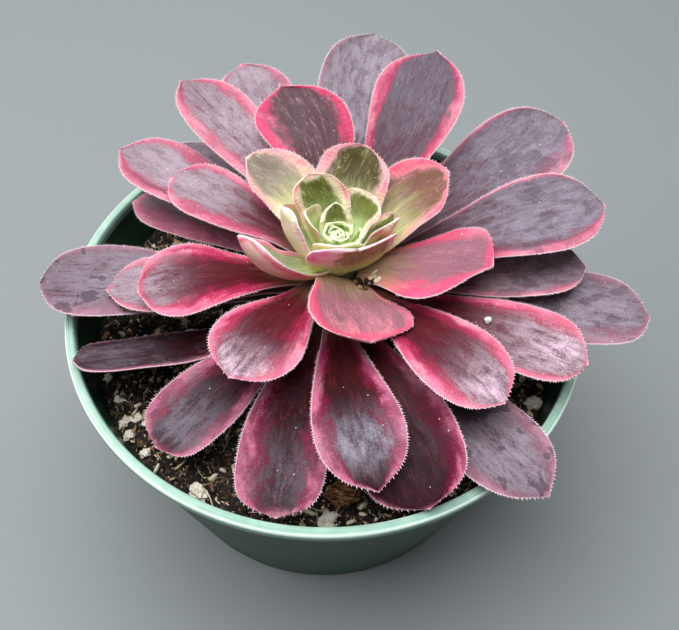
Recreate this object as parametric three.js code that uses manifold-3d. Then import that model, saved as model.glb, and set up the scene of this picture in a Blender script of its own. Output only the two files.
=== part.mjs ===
import * as THREE from "three";
import { mergeVertices } from "three/addons/utils/BufferGeometryUtils.js";
import Module from "manifold-3d";

// A rosette succulent in its plastic nursery pot. Millimetres and degrees, +Z up.
// The origin is the middle of the pot's underside, +Y is the far side of the rosette.

const RIM_RADIUS = 80;
const POT_HEIGHT = 87;
const BASE_RADIUS = 61.5;
const WALL = 1.5;
const FLOOR = 2.5;
const LIP_WIDTH = 3;
const LIP_DEPTH = 3.4;
const SHOULDER_STEP = 1.3;
const POT_SIDES = 72;
const DRAIN_HOLES = 8;
const DRAIN_RADIUS = 4.2;
const DRAIN_CIRCLE = 49;

const GAP = 0.3;
const SOIL_TOP = 69;
const SOIL_RELIEF = 1.7;
const SOCKET_TOP = 81;
const GRAIN_SINK = 0.14;
const GRAIN_ROOM = 0.78;

const STEM_X = 3;
const STEM_RADIUS = 6.8;
const STEM_TOP_RADIUS = 6.3;
const STEM_FOOT = 52;
const STEM_TOP = 99.6;
const SEAT_GAP = 0.4;

const LEAF_THICKNESS = 3;
const YOUNG_THICKNESS = 2;
const HEART_THICKNESS = 1.9;
const LEAF_EDGE = 0.9;
const LEAF_BANDS = 4;

/** Where along its length a leaf is cut into stations, with its share of the full half width there. */
const LEAF_OUTLINE = [
  [0, 0.3], [0.15, 0.33], [0.32, 0.48], [0.48, 0.72],
  [0.63, 0.93], [0.76, 1], [0.87, 0.87], [0.95, 0.55], [1, 0.07],
];

/** The same for the heart's small leaves: spoon-shaped, broad, deep, boat-shaped, blunt and pointed ones. */
const SPOON = [[0, 0.32], [0.25, 0.52], [0.5, 0.85], [0.7, 1], [0.87, 0.79], [0.95, 0.45], [1, 0.08]];
const BROAD = [[0, 0.62], [0.15, 0.8], [0.35, 0.9], [0.7, 1], [0.87, 0.82], [0.95, 0.48], [1, 0.08]];
const DEEP = [[0, 0.8], [0.3, 0.94], [0.7, 1], [0.87, 0.88], [0.95, 0.52], [1, 0.08]];
const BOAT = [
  [0, 0.55], [0.15, 0.72], [0.3, 0.86], [0.45, 0.95], [0.62, 1],
  [0.75, 0.91], [0.87, 0.67], [0.95, 0.36], [1, 0.06],
];
const BLUNT = [
  [0, 0.5], [0.15, 0.64], [0.3, 0.76], [0.6, 0.96], [0.75, 1], [0.87, 0.9], [0.95, 0.6], [1, 0.12],
];
const OGIVE = [[0, 0.7], [0.2, 0.95], [0.45, 1], [0.65, 0.88], [0.8, 0.66], [0.9, 0.4], [1, 0.08]];

/** The same for the youngest leaves of the rosette, which stay wide down to their seats. */
const OVAL = [
  [0, 0.45], [0.2, 0.72], [0.4, 0.92], [0.58, 1], [0.74, 0.97], [0.87, 0.76], [0.95, 0.42], [1, 0.06],
];
const FULL = [
  [0, 0.5], [0.2, 0.84], [0.4, 1], [0.6, 0.98], [0.75, 0.9], [0.87, 0.7], [0.95, 0.42], [1, 0.06],
];

/** The share of the full thickness along a leaf. */
const LEAF_SECTION = [[0, 0.85], [0.3, 1], [0.6, 1], [0.85, 0.75], [1, 0.45]];

/** The radius that the leaves sit against, by height: the stem, and the heart above it. */
const CORE_RADIUS = [
  [0, STEM_RADIUS], [92, STEM_RADIUS], [STEM_TOP, STEM_TOP_RADIUS], [105, STEM_TOP_RADIUS],
];

/**
 * Leaves from the oldest and lowest to the youngest.
 * Columns: turn about the stem (0 is +X), seat height, rise at the seat, change of rise to the tip,
 * length, width, roll about the midrib, cup of the blade, sideways sweep to the tip, outline of a young leaf.
 */
const LEAVES = [
  ["leaf_00", 134, 80.8, 8, 0, 77, 22, 0, 0.18, 0],
  ["leaf_01", -148, 81.3, 0, 12, 75, 24, 28, 0.1, -20],
  ["leaf_02", -50, 82, 5.5, 0, 82, 27, -3, 0.14, 0],
  ["leaf_03", 86, 84, 31, -8, 86, 31, 0, 0.18, -6],
  ["leaf_04", -7, 84.5, 9, -7, 88, 28, 0, 0.18, 0],
  ["leaf_05", -178, 84.2, 8, -4, 83, 28, 0, 0.18, 6],
  ["leaf_06", 147, 86.8, 9, -8, 68, 21, 0, 0.18, 22],
  ["leaf_07", -70, 86.3, 14.5, -25, 70, 29, 11, 0.18, 0],
  ["leaf_08", -129, 87, 3, -11, 66, 22, 0, 0.18, -3],
  ["leaf_09", 3, 87.5, 13, -10, 70, 24, 0, 0.18, 0],
  ["leaf_10", 116, 89.6, 24, -7, 78, 27, 0, 0.18, 0],
  ["leaf_11", -107, 89.5, 4, -14, 69.5, 24, 0, 0.18, 16],
  ["leaf_12", -172, 89.5, 9, -9, 62, 22, 0, 0.18, 0],
  ["leaf_13", -27, 90, 14, -15, 71, 25, 0, 0.18, 5],
  ["leaf_14", 34, 90.2, 21, -5, 83, 30, 12, 0.18, 0],
  ["leaf_15", 150, 92, 18, -10, 74, 24, 0, 0.18, 6],
  ["leaf_16", -88, 92.2, 12, -17, 66, 24, 0, 0.18, 18],
  ["leaf_17", 11, 93.2, 22, -17, 77, 28, 10, 0.18, 2],
  ["leaf_18", 125, 94.7, 27, -15, 76, 22, 0, 0.18, 15],
  ["leaf_19", -167, 94.7, 14, -14, 52, 26, 0, 0.18, 0],
  ["leaf_20", -46, 95, 14, -18, 59, 25, 0, 0.18, 0],
  ["leaf_21", 62, 96, 32, -12, 74, 29, 0, 0.18, 5],
  ["leaf_22", 154, 97.3, 23, -15, 51, 22, 0, 0.18, 8],
  ["leaf_23", -121, 97.3, 17, -19, 45, 26, 0, 0.18, 0],
  ["leaf_24", -10, 98.2, 26, -18, 40, 25, 0, 0.18, 0],
  ["leaf_25", 99, 98.3, 41, -14, 54, 28, 0, 0.18, 17],
  ["leaf_26", -79, 99.5, 25, -24, 28.5, 32, -22, 0.18, 14],
  ["leaf_27", 36.5, 100.4, 40, -6, 36.5, 21.2, 5, 0.25, -10, OVAL],
  ["leaf_28", 126, 101.5, 38, -8, 35, 19.5, 4, 0.25, 24, FULL],
  ["leaf_29", 83, 103.6, 44, -9, 28.5, 22.5, -6, 0.25, -18, OVAL],
];

/**
 * Small upright leaves that grow together into the heart.
 * Columns: outline, then as above, with the reach from the stem's axis and a skew of the heading at the end.
 */
const HEART_LEAVES = [
  [BOAT, -115, 102.4, -9, 87, 32.5, 16, 16, 0.6, -34, 5.5, -39],
  [BLUNT, -153, 102.2, 34, 50, 22.5, 17, 8, 0.55, -34, 5.2, -22],
  [DEEP, -53, 102.7, 78, -20, 17.2, 27.2, 2, 0.2, 0, 6.6, -20],
  [BROAD, 116, 104, 56, 0, 22, 16.5, 0, 0.3, 0, 4, 0],
  [BROAD, 53, 105.4, 53, 0, 17, 17.5, -16, 0.25, 0, 3.8, -6],
  [BOAT, -1, 104, 34, 24, 19.5, 13.5, -19, 0.5, 14, 4, 0],
  [OGIVE, 95, 107, 60, 0, 11.5, 10, 0, 0.3, 0, 2.5, 0],
  [BROAD, 165, 106, 50, 14, 13.5, 11, 20, 0.5, 0, 3, -10],
  [BROAD, -22, 106, 70, -12, 9, 9, 0, 0.2, 0, 3.5, 0],
  [SPOON, 66, 107.5, 66, 10, 6.5, 7.5, 0, 0.3, 0, 1.8, 0],
  [SPOON, 145, 107.5, 66, 10, 6.5, 6, 0, 0.3, 0, 1.8, 0],
  [BROAD, -84, 104, 82, -16, 12.5, 15, 0, 0.2, 0, 4.6, 0],
];

/** The heart's core, as [radius, height] rows. */
const HEART_PROFILE = [
  [0, 100], [5.6, 100], [6.2, 101], [6.2, 104.5], [4.8, 108], [2.6, 111], [1, 112.6], [0, 112.9],
];

/** Perlite grains and a chip of bark on the soil: name, finish, x, y, size, turn. */
const GRAINS = [
  ["perlite_1", "perlite", 65.2, -29, 5.2, 20],
  ["perlite_2", "perlite", 3.4, -69.6, 6, 70],
  ["perlite_3", "perlite", -33.5, -62.4, 5.4, 130],
  ["perlite_4", "perlite", -58.6, -39.9, 3.6, 10],
  ["perlite_5", "perlite", -57, -43.9, 3.4, 50],
  ["perlite_6", "perlite", -55.2, -38.4, 2.8, 95],
  ["perlite_7", "perlite", -52.3, -40.7, 2.6, 160],
  ["perlite_8", "perlite", -50.6, -50.2, 3, 35],
  ["perlite_9", "perlite", -67.2, -24.8, 3.2, 80],
  ["perlite_10", "perlite", -62, -33.4, 3, 115],
  ["bark_1", "bark", 7.9, -60.5, 8.5, 20],
];

const wasm = await Module();
wasm.setup();

const radians = THREE.MathUtils.degToRad;

/** A value read from a table of [position, value] rows, straight between them. */
function interpolate(table, at) {
  for (let row = 1; row < table.length; row += 1) {
    const [from, low] = table[row - 1];
    const [to, high] = table[row];
    if (at <= to) return low + ((high - low) * (at - from)) / (to - from);
  }
  return table[table.length - 1][1];
}

/** A smooth wandering number between -1 and 1 for a place on the ground. */
function ripple(x, y) {
  const wide = Math.sin(x * 0.21 + 1.7) * Math.cos(y * 0.19 - 0.6);
  const fine = Math.sin(x * 0.57 - y * 0.31 + 0.9) * Math.cos(y * 0.49 + x * 0.23);
  return 0.55 * wide + 0.45 * fine;
}

/** Turns a closed geometry into a solid that can be cut and joined. */
function toSolid(geometry) {
  const bare = geometry.clone();
  bare.deleteAttribute("normal");
  bare.deleteAttribute("uv");
  const merged = mergeVertices(bare, 1e-4);
  return new wasm.Manifold(new wasm.Mesh({
    numProp: 3,
    vertProperties: new Float32Array(merged.attributes.position.array),
    triVerts: new Uint32Array(merged.index.array),
  }));
}

/** Turns a solid back into a geometry. */
function toGeometry(solid) {
  const mesh = solid.getMesh();
  const geometry = new THREE.BufferGeometry();
  geometry.setAttribute("position", new THREE.BufferAttribute(new Float32Array(mesh.vertProperties), 3));
  geometry.setIndex(new THREE.BufferAttribute(new Uint32Array(mesh.triVerts), 1));
  geometry.computeVertexNormals();
  return geometry;
}

/** Revolves rows of [radius, height] about the Z axis. */
function revolve(rows, sides) {
  const points = rows.map(([radius, height]) => new THREE.Vector2(radius, height));
  return new THREE.LatheGeometry(points, sides).rotateX(Math.PI / 2);
}

/** One leaf, growing from its seat at the origin along +X, with a lens-shaped cross-section. */
function leafGeometry(outline, rise, bend, length, width, roll, cup, sweep, thickness) {
  const steps = 60;
  const spine = [new THREE.Vector3()];
  const frames = [];
  for (let step = 0; step <= steps; step += 1) {
    const share = step / steps;
    const pitch = radians(rise + bend * share);
    const swing = radians(sweep * share);
    const ahead = new THREE.Vector3(Math.cos(pitch), 0, Math.sin(pitch));
    const left = new THREE.Vector3(0, 1, 0);
    const tangent = ahead.clone().multiplyScalar(Math.cos(swing)).addScaledVector(left, Math.sin(swing));
    const side = left.clone().multiplyScalar(Math.cos(swing)).addScaledVector(ahead, -Math.sin(swing));
    const normal = new THREE.Vector3().crossVectors(tangent, side);
    side.applyAxisAngle(tangent, radians(roll));
    normal.applyAxisAngle(tangent, radians(roll));
    frames.push({ tangent, side, normal });
    if (step > 0) {
      const mean = frames[step - 1].tangent.clone().add(tangent).multiplyScalar(length / steps / 2);
      spine.push(spine[step - 1].clone().add(mean));
    }
  }

  const positions = [];
  for (const [share, half] of outline) {
    const place = Math.round(share * steps);
    const { side, normal } = frames[place];
    const reach = (half * width) / 2;
    const middle = Math.max(LEAF_EDGE, thickness * interpolate(LEAF_SECTION, share));
    for (const face of [1, -1]) {
      for (let band = 0; band <= LEAF_BANDS; band += 1) {
        const across = (2 * band) / LEAF_BANDS - 1;
        const depth = LEAF_EDGE + (middle - LEAF_EDGE) * (1 - across * across);
        const point = spine[place].clone()
          .addScaledVector(side, across * reach)
          .addScaledVector(normal, cup * reach * across * across + (face * depth) / 2);
        positions.push(point.x, point.y, point.z);
      }
    }
  }

  const ring = 2 * (LEAF_BANDS + 1);
  const top = (station, band) => station * ring + band;
  const under = (station, band) => station * ring + LEAF_BANDS + 1 + band;
  const faces = [];
  const last = outline.length - 1;
  for (let station = 0; station < last; station += 1) {
    const next = station + 1;
    for (let band = 0; band < LEAF_BANDS; band += 1) {
      faces.push(top(station, band), top(next, band), top(next, band + 1));
      faces.push(top(station, band), top(next, band + 1), top(station, band + 1));
      faces.push(under(station, band), under(next, band + 1), under(next, band));
      faces.push(under(station, band), under(station, band + 1), under(next, band + 1));
    }
    faces.push(top(station, 0), under(station, 0), under(next, 0));
    faces.push(top(station, 0), under(next, 0), top(next, 0));
    faces.push(top(station, LEAF_BANDS), under(next, LEAF_BANDS), under(station, LEAF_BANDS));
    faces.push(top(station, LEAF_BANDS), top(next, LEAF_BANDS), under(next, LEAF_BANDS));
  }
  for (let band = 0; band < LEAF_BANDS; band += 1) {
    faces.push(top(0, band), top(0, band + 1), under(0, band + 1));
    faces.push(top(0, band), under(0, band + 1), under(0, band));
    faces.push(top(last, band), under(last, band + 1), top(last, band + 1));
    faces.push(top(last, band), under(last, band), under(last, band + 1));
  }
  const geometry = new THREE.BufferGeometry();
  geometry.setAttribute("position", new THREE.BufferAttribute(new Float32Array(positions), 3));
  geometry.setIndex(faces);
  geometry.computeVertexNormals();
  return geometry;
}

const TAPER = (RIM_RADIUS - SHOULDER_STEP - BASE_RADIUS) / (POT_HEIGHT - LIP_DEPTH);
const wallRadius = (height) => BASE_RADIUS + TAPER * height;

/** The pot: a thin tapered wall with a rounded lip, a flat floor and drain holes near its edge. */
function potGeometry() {
  const shoulder = POT_HEIGHT - LIP_DEPTH;
  const lipInner = RIM_RADIUS - LIP_WIDTH;
  const shell = revolve([
    [0, 0], [BASE_RADIUS - 1.6, 0], [wallRadius(1.6), 1.6], [wallRadius(shoulder), shoulder],
    [RIM_RADIUS - 0.1, shoulder + 0.5], [RIM_RADIUS, POT_HEIGHT - 1.3],
    [RIM_RADIUS - 0.6, POT_HEIGHT - 0.3], [RIM_RADIUS - 1.5, POT_HEIGHT],
    [lipInner + 0.6, POT_HEIGHT - 0.3], [lipInner, POT_HEIGHT - 1.2],
    [wallRadius(shoulder - 1) - WALL, shoulder - 1],
    [wallRadius(FLOOR + 1.5) - WALL, FLOOR + 1.5], [wallRadius(FLOOR) - WALL - 1.5, FLOOR], [0, FLOOR],
  ], POT_SIDES);
  let pot = toSolid(shell);
  for (let hole = 0; hole < DRAIN_HOLES; hole += 1) {
    const angle = (2 * Math.PI * (hole + 0.5)) / DRAIN_HOLES;
    const drill = new THREE.CylinderGeometry(DRAIN_RADIUS, DRAIN_RADIUS, 4 * FLOOR, 14).rotateX(Math.PI / 2);
    drill.translate(DRAIN_CIRCLE * Math.cos(angle), DRAIN_CIRCLE * Math.sin(angle), 0);
    pot = pot.subtract(toSolid(drill));
  }
  return toGeometry(pot);
}

/** A lumpy grain centred on the origin. */
function grainGeometry(size) {
  const grain = new THREE.IcosahedronGeometry(size / 2, 1);
  const spots = grain.attributes.position;
  const point = new THREE.Vector3();
  for (let spot = 0; spot < spots.count; spot += 1) {
    point.fromBufferAttribute(spots, spot);
    const swell = 1 + 0.12 * Math.sin(point.x * 2.3 + point.z) + 0.1 * Math.cos(point.y * 2.9);
    point.multiplyScalar(swell);
    spots.setXYZ(spot, point.x, point.y * 0.86, point.z * 0.72);
  }
  return grain;
}

const soilHeight = (x, y) => SOIL_TOP + SOIL_RELIEF * ripple(x, y);
const grainHeight = (x, y, size) => soilHeight(x, y) + GRAIN_SINK * size;

/** Potting mix: fills the pot up to an uneven surface, with plain sockets for the stem and the grains. */
function soilGeometry() {
  const inside = (height) => wallRadius(height) - WALL - GAP - 0.1;
  const foot = FLOOR + GAP;
  const crown = SOIL_TOP - SOIL_RELIEF - 1.2;
  const rings = [0.98, 0.88, 0.77, 0.65, 0.53, 0.41, 0.29, 0.18];
  const bevel = foot + 3;
  const rows = [[0, foot], [inside(foot) - 3, foot], [inside(bevel) - 0.2, bevel], [inside(crown), crown]];
  rings.forEach((share) => rows.push([inside(crown) * share, SOIL_TOP]));
  rows.push([0, SOIL_TOP]);
  const body = revolve(rows, 40);
  const spots = body.attributes.position;
  for (let spot = 0; spot < spots.count; spot += 1) {
    if (Math.abs(spots.getZ(spot) - SOIL_TOP) < 1e-3) {
      spots.setZ(spot, soilHeight(spots.getX(spot), spots.getY(spot)));
    }
  }
  let soil = toSolid(body);
  const socket = revolve([
    [0, STEM_FOOT - GAP], [STEM_RADIUS + GAP, STEM_FOOT - GAP],
    [STEM_RADIUS + GAP, SOCKET_TOP], [0, SOCKET_TOP],
  ], 20).translate(STEM_X, 0, 0);
  soil = soil.subtract(toSolid(socket));
  for (const [, , x, y, size, turn] of GRAINS) {
    const hollow = grainGeometry(size);
    const grow = (size + GRAIN_ROOM) / size;
    hollow.scale(grow, grow, grow).rotateZ(radians(turn)).translate(x, y, grainHeight(x, y, size));
    soil = soil.subtract(toSolid(hollow));
  }
  return toGeometry(soil);
}

/** The stem: a short woody post with a slight taper, standing in its socket in the soil. */
function stemGeometry() {
  return revolve([
    [0, STEM_FOOT], [STEM_RADIUS - 0.6, STEM_FOOT], [STEM_RADIUS, STEM_FOOT + 2], [STEM_RADIUS, 92],
    [STEM_TOP_RADIUS, STEM_TOP - 0.6], [STEM_TOP_RADIUS - 0.7, STEM_TOP], [0, STEM_TOP],
  ], 24);
}

/** The heart: the growing tip with its youngest leaves, joined into one body. */
function heartGeometry() {
  let heart = toSolid(revolve(HEART_PROFILE, 16));
  for (const [outline, turn, seat, ...row] of HEART_LEAVES) {
    const [rise, bend, length, width, roll, cup, sweep, reach, skew] = row;
    const leaf = leafGeometry(outline, rise, bend, length, width, roll, cup, sweep, HEART_THICKNESS);
    leaf.rotateZ(radians(skew)).translate(reach, 0, seat).rotateZ(radians(turn));
    heart = heart.add(toSolid(leaf));
  }
  return toGeometry(heart);
}

const finishes = {
  pot: new THREE.MeshStandardMaterial({ color: 0x4d6d5c, roughness: 0.45, metalness: 0 }),
  soil: new THREE.MeshStandardMaterial({ color: 0x2a2019, roughness: 1, metalness: 0 }),
  stem: new THREE.MeshStandardMaterial({ color: 0x6f5f45, roughness: 0.85, metalness: 0 }),
  heart: new THREE.MeshStandardMaterial({ color: 0xc9d68f, roughness: 0.45, metalness: 0 }),
  leaf: new THREE.MeshStandardMaterial({ color: 0x8a4a60, roughness: 0.4, metalness: 0 }),
  perlite: new THREE.MeshStandardMaterial({ color: 0xd9d0b4, roughness: 0.9, metalness: 0 }),
  bark: new THREE.MeshStandardMaterial({ color: 0x6a4526, roughness: 0.95, metalness: 0 }),
};

/** Adds one named mesh to a group. */
function addMesh(group, name, geometry, material) {
  const mesh = new THREE.Mesh(geometry, material);
  mesh.name = name;
  group.add(mesh);
  return mesh;
}

const scene = new THREE.Group();
addMesh(scene, "pot", potGeometry(), finishes.pot);
addMesh(scene, "soil", soilGeometry(), finishes.soil);

for (const [name, finish, x, y, size, turn] of GRAINS) {
  const grain = addMesh(scene, name, grainGeometry(size), finishes[finish]);
  grain.position.set(x, y, grainHeight(x, y, size));
  grain.rotation.z = radians(turn);
}

const plant = new THREE.Group();
plant.position.set(STEM_X, 0, 0);
scene.add(plant);
addMesh(plant, "stem", stemGeometry(), finishes.stem);
addMesh(plant, "heart", heartGeometry(), finishes.heart);

for (const [name, turn, seat, rise, bend, length, width, roll, cup, sweep, young] of LEAVES) {
  const bearing = new THREE.Group();
  bearing.rotation.z = radians(turn);
  plant.add(bearing);
  const thickness = young ? YOUNG_THICKNESS : LEAF_THICKNESS;
  const blade = leafGeometry(young ?? LEAF_OUTLINE, rise, bend, length, width, roll, cup, sweep, thickness);
  const leaf = addMesh(bearing, name, blade, finishes.leaf);
  const lean = (LEAF_SECTION[0][1] * thickness * Math.sin(radians(rise))) / 2;
  leaf.position.set(interpolate(CORE_RADIUS, seat) + SEAT_GAP + lean, 0, seat);
}

export default scene;
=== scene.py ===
"""A potted aeonium: the finished looks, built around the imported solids.

Every length in the tables is in millimetres and every angle in degrees, as in the solids.
Meshes are in metres.
"""

import logging
import math
from collections.abc import Callable, Iterable, Sequence
from dataclasses import dataclass, replace
from enum import Enum
from random import Random

import bmesh
import bpy
from mathutils import Matrix, Vector, noise

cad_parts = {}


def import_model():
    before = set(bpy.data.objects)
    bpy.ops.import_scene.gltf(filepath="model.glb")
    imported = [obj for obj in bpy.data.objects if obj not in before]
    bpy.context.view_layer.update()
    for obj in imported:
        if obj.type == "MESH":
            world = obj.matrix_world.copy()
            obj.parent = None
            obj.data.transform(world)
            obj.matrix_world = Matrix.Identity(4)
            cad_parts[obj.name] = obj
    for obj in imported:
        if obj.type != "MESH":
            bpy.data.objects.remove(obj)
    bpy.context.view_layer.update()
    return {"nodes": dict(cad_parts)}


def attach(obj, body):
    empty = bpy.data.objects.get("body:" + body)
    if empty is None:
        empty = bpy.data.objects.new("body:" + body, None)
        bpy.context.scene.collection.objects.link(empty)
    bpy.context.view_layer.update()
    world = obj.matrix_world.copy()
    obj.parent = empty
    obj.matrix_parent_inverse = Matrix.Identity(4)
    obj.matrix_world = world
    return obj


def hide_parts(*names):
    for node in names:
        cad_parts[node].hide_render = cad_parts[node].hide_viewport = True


MM = 0.001
SKIN_VALUES = ("place", "bands", "finish", "grain")
BODY = "root"
NOISE_SEED = 7
LOG = logging.getLogger("aeonium")

Rows = Sequence[tuple[float, float]]
Lump = tuple[int, float, float, float, float]
Colour = tuple[float, float, float, float]

STEM_X = 3.0
STEM_RADIUS = 6.8
STEM_TOP_RADIUS = 6.3
STEM_FOOT = 52.0
STEM_TOP = 99.6
SEAT_GAP = 0.4
SOIL_TOP = 69.0
SOIL_RELIEF = 1.7
STEM_TAPER = 92.0
CORE_RADIUS: Rows = ((0.0, STEM_RADIUS), (STEM_TAPER, STEM_RADIUS), (STEM_TOP, STEM_TOP_RADIUS))


def smoothstep(low: float, high: float, value: float) -> float:
    """A soft step from 0 at low to 1 at high."""
    share = min(1.0, max(0.0, (value - low) / (high - low)))
    return share * share * (3.0 - 2.0 * share)


def bell(value: float, centre: float, width: float) -> float:
    """A bell curve of height 1."""
    return math.exp(-(((value - centre) / width) ** 2))


def along(rows: Rows, at: float) -> float:
    """Reads a table of (position, value) rows, straight between them.

    Args:
        rows: the table, in order of position.
        at: where to read it.

    Returns:
        The value there.
    """
    for (start, low), (end, high) in zip(rows, rows[1:]):
        if at <= end:
            return low + (high - low) * max(0.0, at - start) / (end - start)
    return rows[-1][1]


def smooth_along(rows: Rows, at: float) -> float:
    """Reads a table of (position, value) rows along a smooth curve through them.

    Args:
        rows: the table, in order of position.
        at: where to read it.

    Returns:
        The value there.
    """
    last = len(rows) - 1
    row = 0
    while row < last - 1 and at > rows[row + 1][0]:
        row += 1

    def slope(index: int) -> float:
        if index in (0, last):
            return (rows[min(last, index + 1)][1] - rows[max(0, index - 1)][1]) / (
                rows[min(last, index + 1)][0] - rows[max(0, index - 1)][0])
        before = (rows[index][1] - rows[index - 1][1]) / (rows[index][0] - rows[index - 1][0])
        after = (rows[index + 1][1] - rows[index][1]) / (rows[index + 1][0] - rows[index][0])
        return 0.0 if before * after <= 0 else 2 * before * after / (before + after)

    (start, low), (end, high) = rows[row], rows[row + 1]
    span = end - start
    t = min(1.0, max(0.0, (at - start) / span))
    rise, fall = slope(row) * span, slope(row + 1) * span
    return (low * (1 + 2 * t) * (1 - t) ** 2 + rise * t * (1 - t) ** 2
            + high * t * t * (3 - 2 * t) + fall * t * t * (t - 1))


def srgb(code: str) -> Colour:
    """The linear colour of a six-digit screen colour."""
    def channel(text: str) -> float:
        value = int(text, 16) / 255
        return value / 12.92 if value <= 0.04045 else ((value + 0.055) / 1.055) ** 2.4

    return channel(code[0:2]), channel(code[2:4]), channel(code[4:6]), 1.0


def soil_height(x: float, y: float) -> float:
    """The height of the soil at a place, before its crumb is added."""
    wide = math.sin(x * 0.21 + 1.7) * math.cos(y * 0.19 - 0.6)
    fine = math.sin(x * 0.57 - y * 0.31 + 0.9) * math.cos(y * 0.49 + x * 0.23)
    return SOIL_TOP + SOIL_RELIEF * (0.55 * wide + 0.45 * fine)


Socket = bpy.types.NodeSocket
Feed = Socket | float | Sequence[float]


class Shader:
    """Builds one node material, one node at a time."""

    def __init__(self, name: str) -> None:
        """Starts a material that has only its output and its surface shader.

        Args:
            name: the material's name.
        """
        self.material = bpy.data.materials.new(name)
        self.material.use_nodes = True
        self.nodes = self.material.node_tree.nodes
        self.links = self.material.node_tree.links
        self.nodes.clear()
        self.output = self.nodes.new("ShaderNodeOutputMaterial")
        self.surface = self.nodes.new("ShaderNodeBsdfPrincipled")
        self.links.new(self.surface.outputs["BSDF"], self.output.inputs["Surface"])

    def feed(self, socket: Socket, value: Feed) -> None:
        """Links a socket to another one, or sets its value."""
        if isinstance(value, bpy.types.NodeSocket):
            self.links.new(value, socket)
        else:
            socket.default_value = value

    def place(self) -> Socket:
        """The place on the piece, in metres."""
        return self.nodes.new("ShaderNodeTexCoord").outputs["Object"]

    def attribute(self, name: str, output: str = "Vector") -> Socket:
        """A value that the mesh carries at each point."""
        node = self.nodes.new("ShaderNodeAttribute")
        node.attribute_name = name
        return node.outputs[output]

    def split(self, vector: Socket) -> tuple[Socket, Socket, Socket]:
        """The three parts of a vector."""
        node = self.nodes.new("ShaderNodeSeparateXYZ")
        self.feed(node.inputs[0], vector)
        return node.outputs[0], node.outputs[1], node.outputs[2]

    def join(self, x: Feed, y: Feed, z: Feed = 0.0) -> Socket:
        """A vector of three numbers."""
        node = self.nodes.new("ShaderNodeCombineXYZ")
        for socket, value in zip(node.inputs, (x, y, z)):
            self.feed(socket, value)
        return node.outputs[0]

    def stretch(self, vector: Socket, scale: Sequence[float], shift: Sequence[float] = (0, 0, 0)) -> Socket:
        """A vector scaled along each axis, then shifted."""
        node = self.nodes.new("ShaderNodeVectorMath")
        node.operation = "MULTIPLY_ADD"
        self.feed(node.inputs[0], vector)
        node.inputs[1].default_value = scale
        node.inputs[2].default_value = shift
        return node.outputs[0]

    def math(self, operation: str, first: Feed, second: Feed = 0.0, third: Feed = 0.0) -> Socket:
        """One sum on numbers."""
        node = self.nodes.new("ShaderNodeMath")
        node.operation = operation
        for socket, value in zip(node.inputs, (first, second, third)):
            self.feed(socket, value)
        return node.outputs[0]

    def times(self, first: Feed, second: Feed) -> Socket:
        """The product of two numbers."""
        return self.math("MULTIPLY", first, second)

    def add(self, base: Feed, value: Feed, weight: float) -> Socket:
        """A number with a share of another one added."""
        return self.math("MULTIPLY_ADD", value, weight, base)

    def shake(self, base: Feed, source: Socket, weight: float) -> Socket:
        """A number moved up and down by noise."""
        return self.add(base, self.math("SUBTRACT", source, 0.5), weight)

    def total(self, *parts: tuple[Feed, float]) -> Socket:
        """The sum of some values, each with its weight."""
        (value, weight), *rest = parts
        result = self.times(value, weight)
        for value, weight in rest:
            result = self.add(result, value, weight)
        return result

    def step(self, value: Feed, low: float, high: float, bottom: float = 0.0, top: float = 1.0) -> Socket:
        """A soft step of a value, from bottom at low to top at high."""
        node = self.nodes.new("ShaderNodeMapRange")
        node.interpolation_type = "SMOOTHSTEP"
        numbers = {"Value": value, "From Min": low, "From Max": high, "To Min": bottom, "To Max": top}
        for name, number in numbers.items():
            self.feed(node.inputs[name], number)
        return node.outputs["Result"]

    def noise(self, vector: Socket, scale: float = 1.0, detail: float = 2.0, rough: float = 0.5,
              twist: float = 0.0) -> Socket:
        """Soft noise between 0 and 1, swirled by the twist."""
        node = self.nodes.new("ShaderNodeTexNoise")
        self.feed(node.inputs["Vector"], vector)
        node.inputs["Scale"].default_value = scale
        node.inputs["Detail"].default_value = detail
        node.inputs["Roughness"].default_value = rough
        node.inputs["Distortion"].default_value = twist
        return node.outputs["Fac"]

    def cells(self, vector: Socket, scale: float) -> Socket:
        """The distance to the nearest of many scattered points."""
        node = self.nodes.new("ShaderNodeTexVoronoi")
        self.feed(node.inputs["Vector"], vector)
        node.inputs["Scale"].default_value = scale
        return node.outputs["Distance"]

    def mix(self, factor: Feed, first: Feed, second: Feed, mode: str = "MIX") -> Socket:
        """A blend of two colours."""
        node = self.nodes.new("ShaderNodeMix")
        node.data_type = "RGBA"
        node.blend_type = mode
        node.clamp_factor = True
        self.feed(node.inputs[0], factor)
        self.feed(node.inputs[6], first)
        self.feed(node.inputs[7], second)
        return node.outputs[2]

    def paint(self, colour: Feed, mask: Feed, code: str) -> Socket:
        """A colour covered by a screen colour where the mask is 1."""
        return self.mix(mask, colour, srgb(code))

    def ramp(self, factor: Feed, *stops: tuple[float, str]) -> Socket:
        """A colour read from a ramp.

        Args:
            factor: where to read the ramp.
            stops: the place and screen colour of each stop, in order.

        Returns:
            The colour's socket.
        """
        node = self.nodes.new("ShaderNodeValToRGB")
        self.feed(node.inputs[0], factor)
        while len(node.color_ramp.elements) < len(stops):
            node.color_ramp.elements.new(0.5)
        for element, (position, code) in zip(node.color_ramp.elements, stops):
            element.position = position
            element.color = srgb(code)
        return node.outputs[0]

    def bump(self, height: Feed, distance: float, strength: float = 1.0) -> Socket:
        """A relief for the surface shader, with its depth in metres."""
        node = self.nodes.new("ShaderNodeBump")
        self.feed(node.inputs["Height"], height)
        node.inputs["Distance"].default_value = distance
        node.inputs["Strength"].default_value = strength
        return node.outputs["Normal"]

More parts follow.
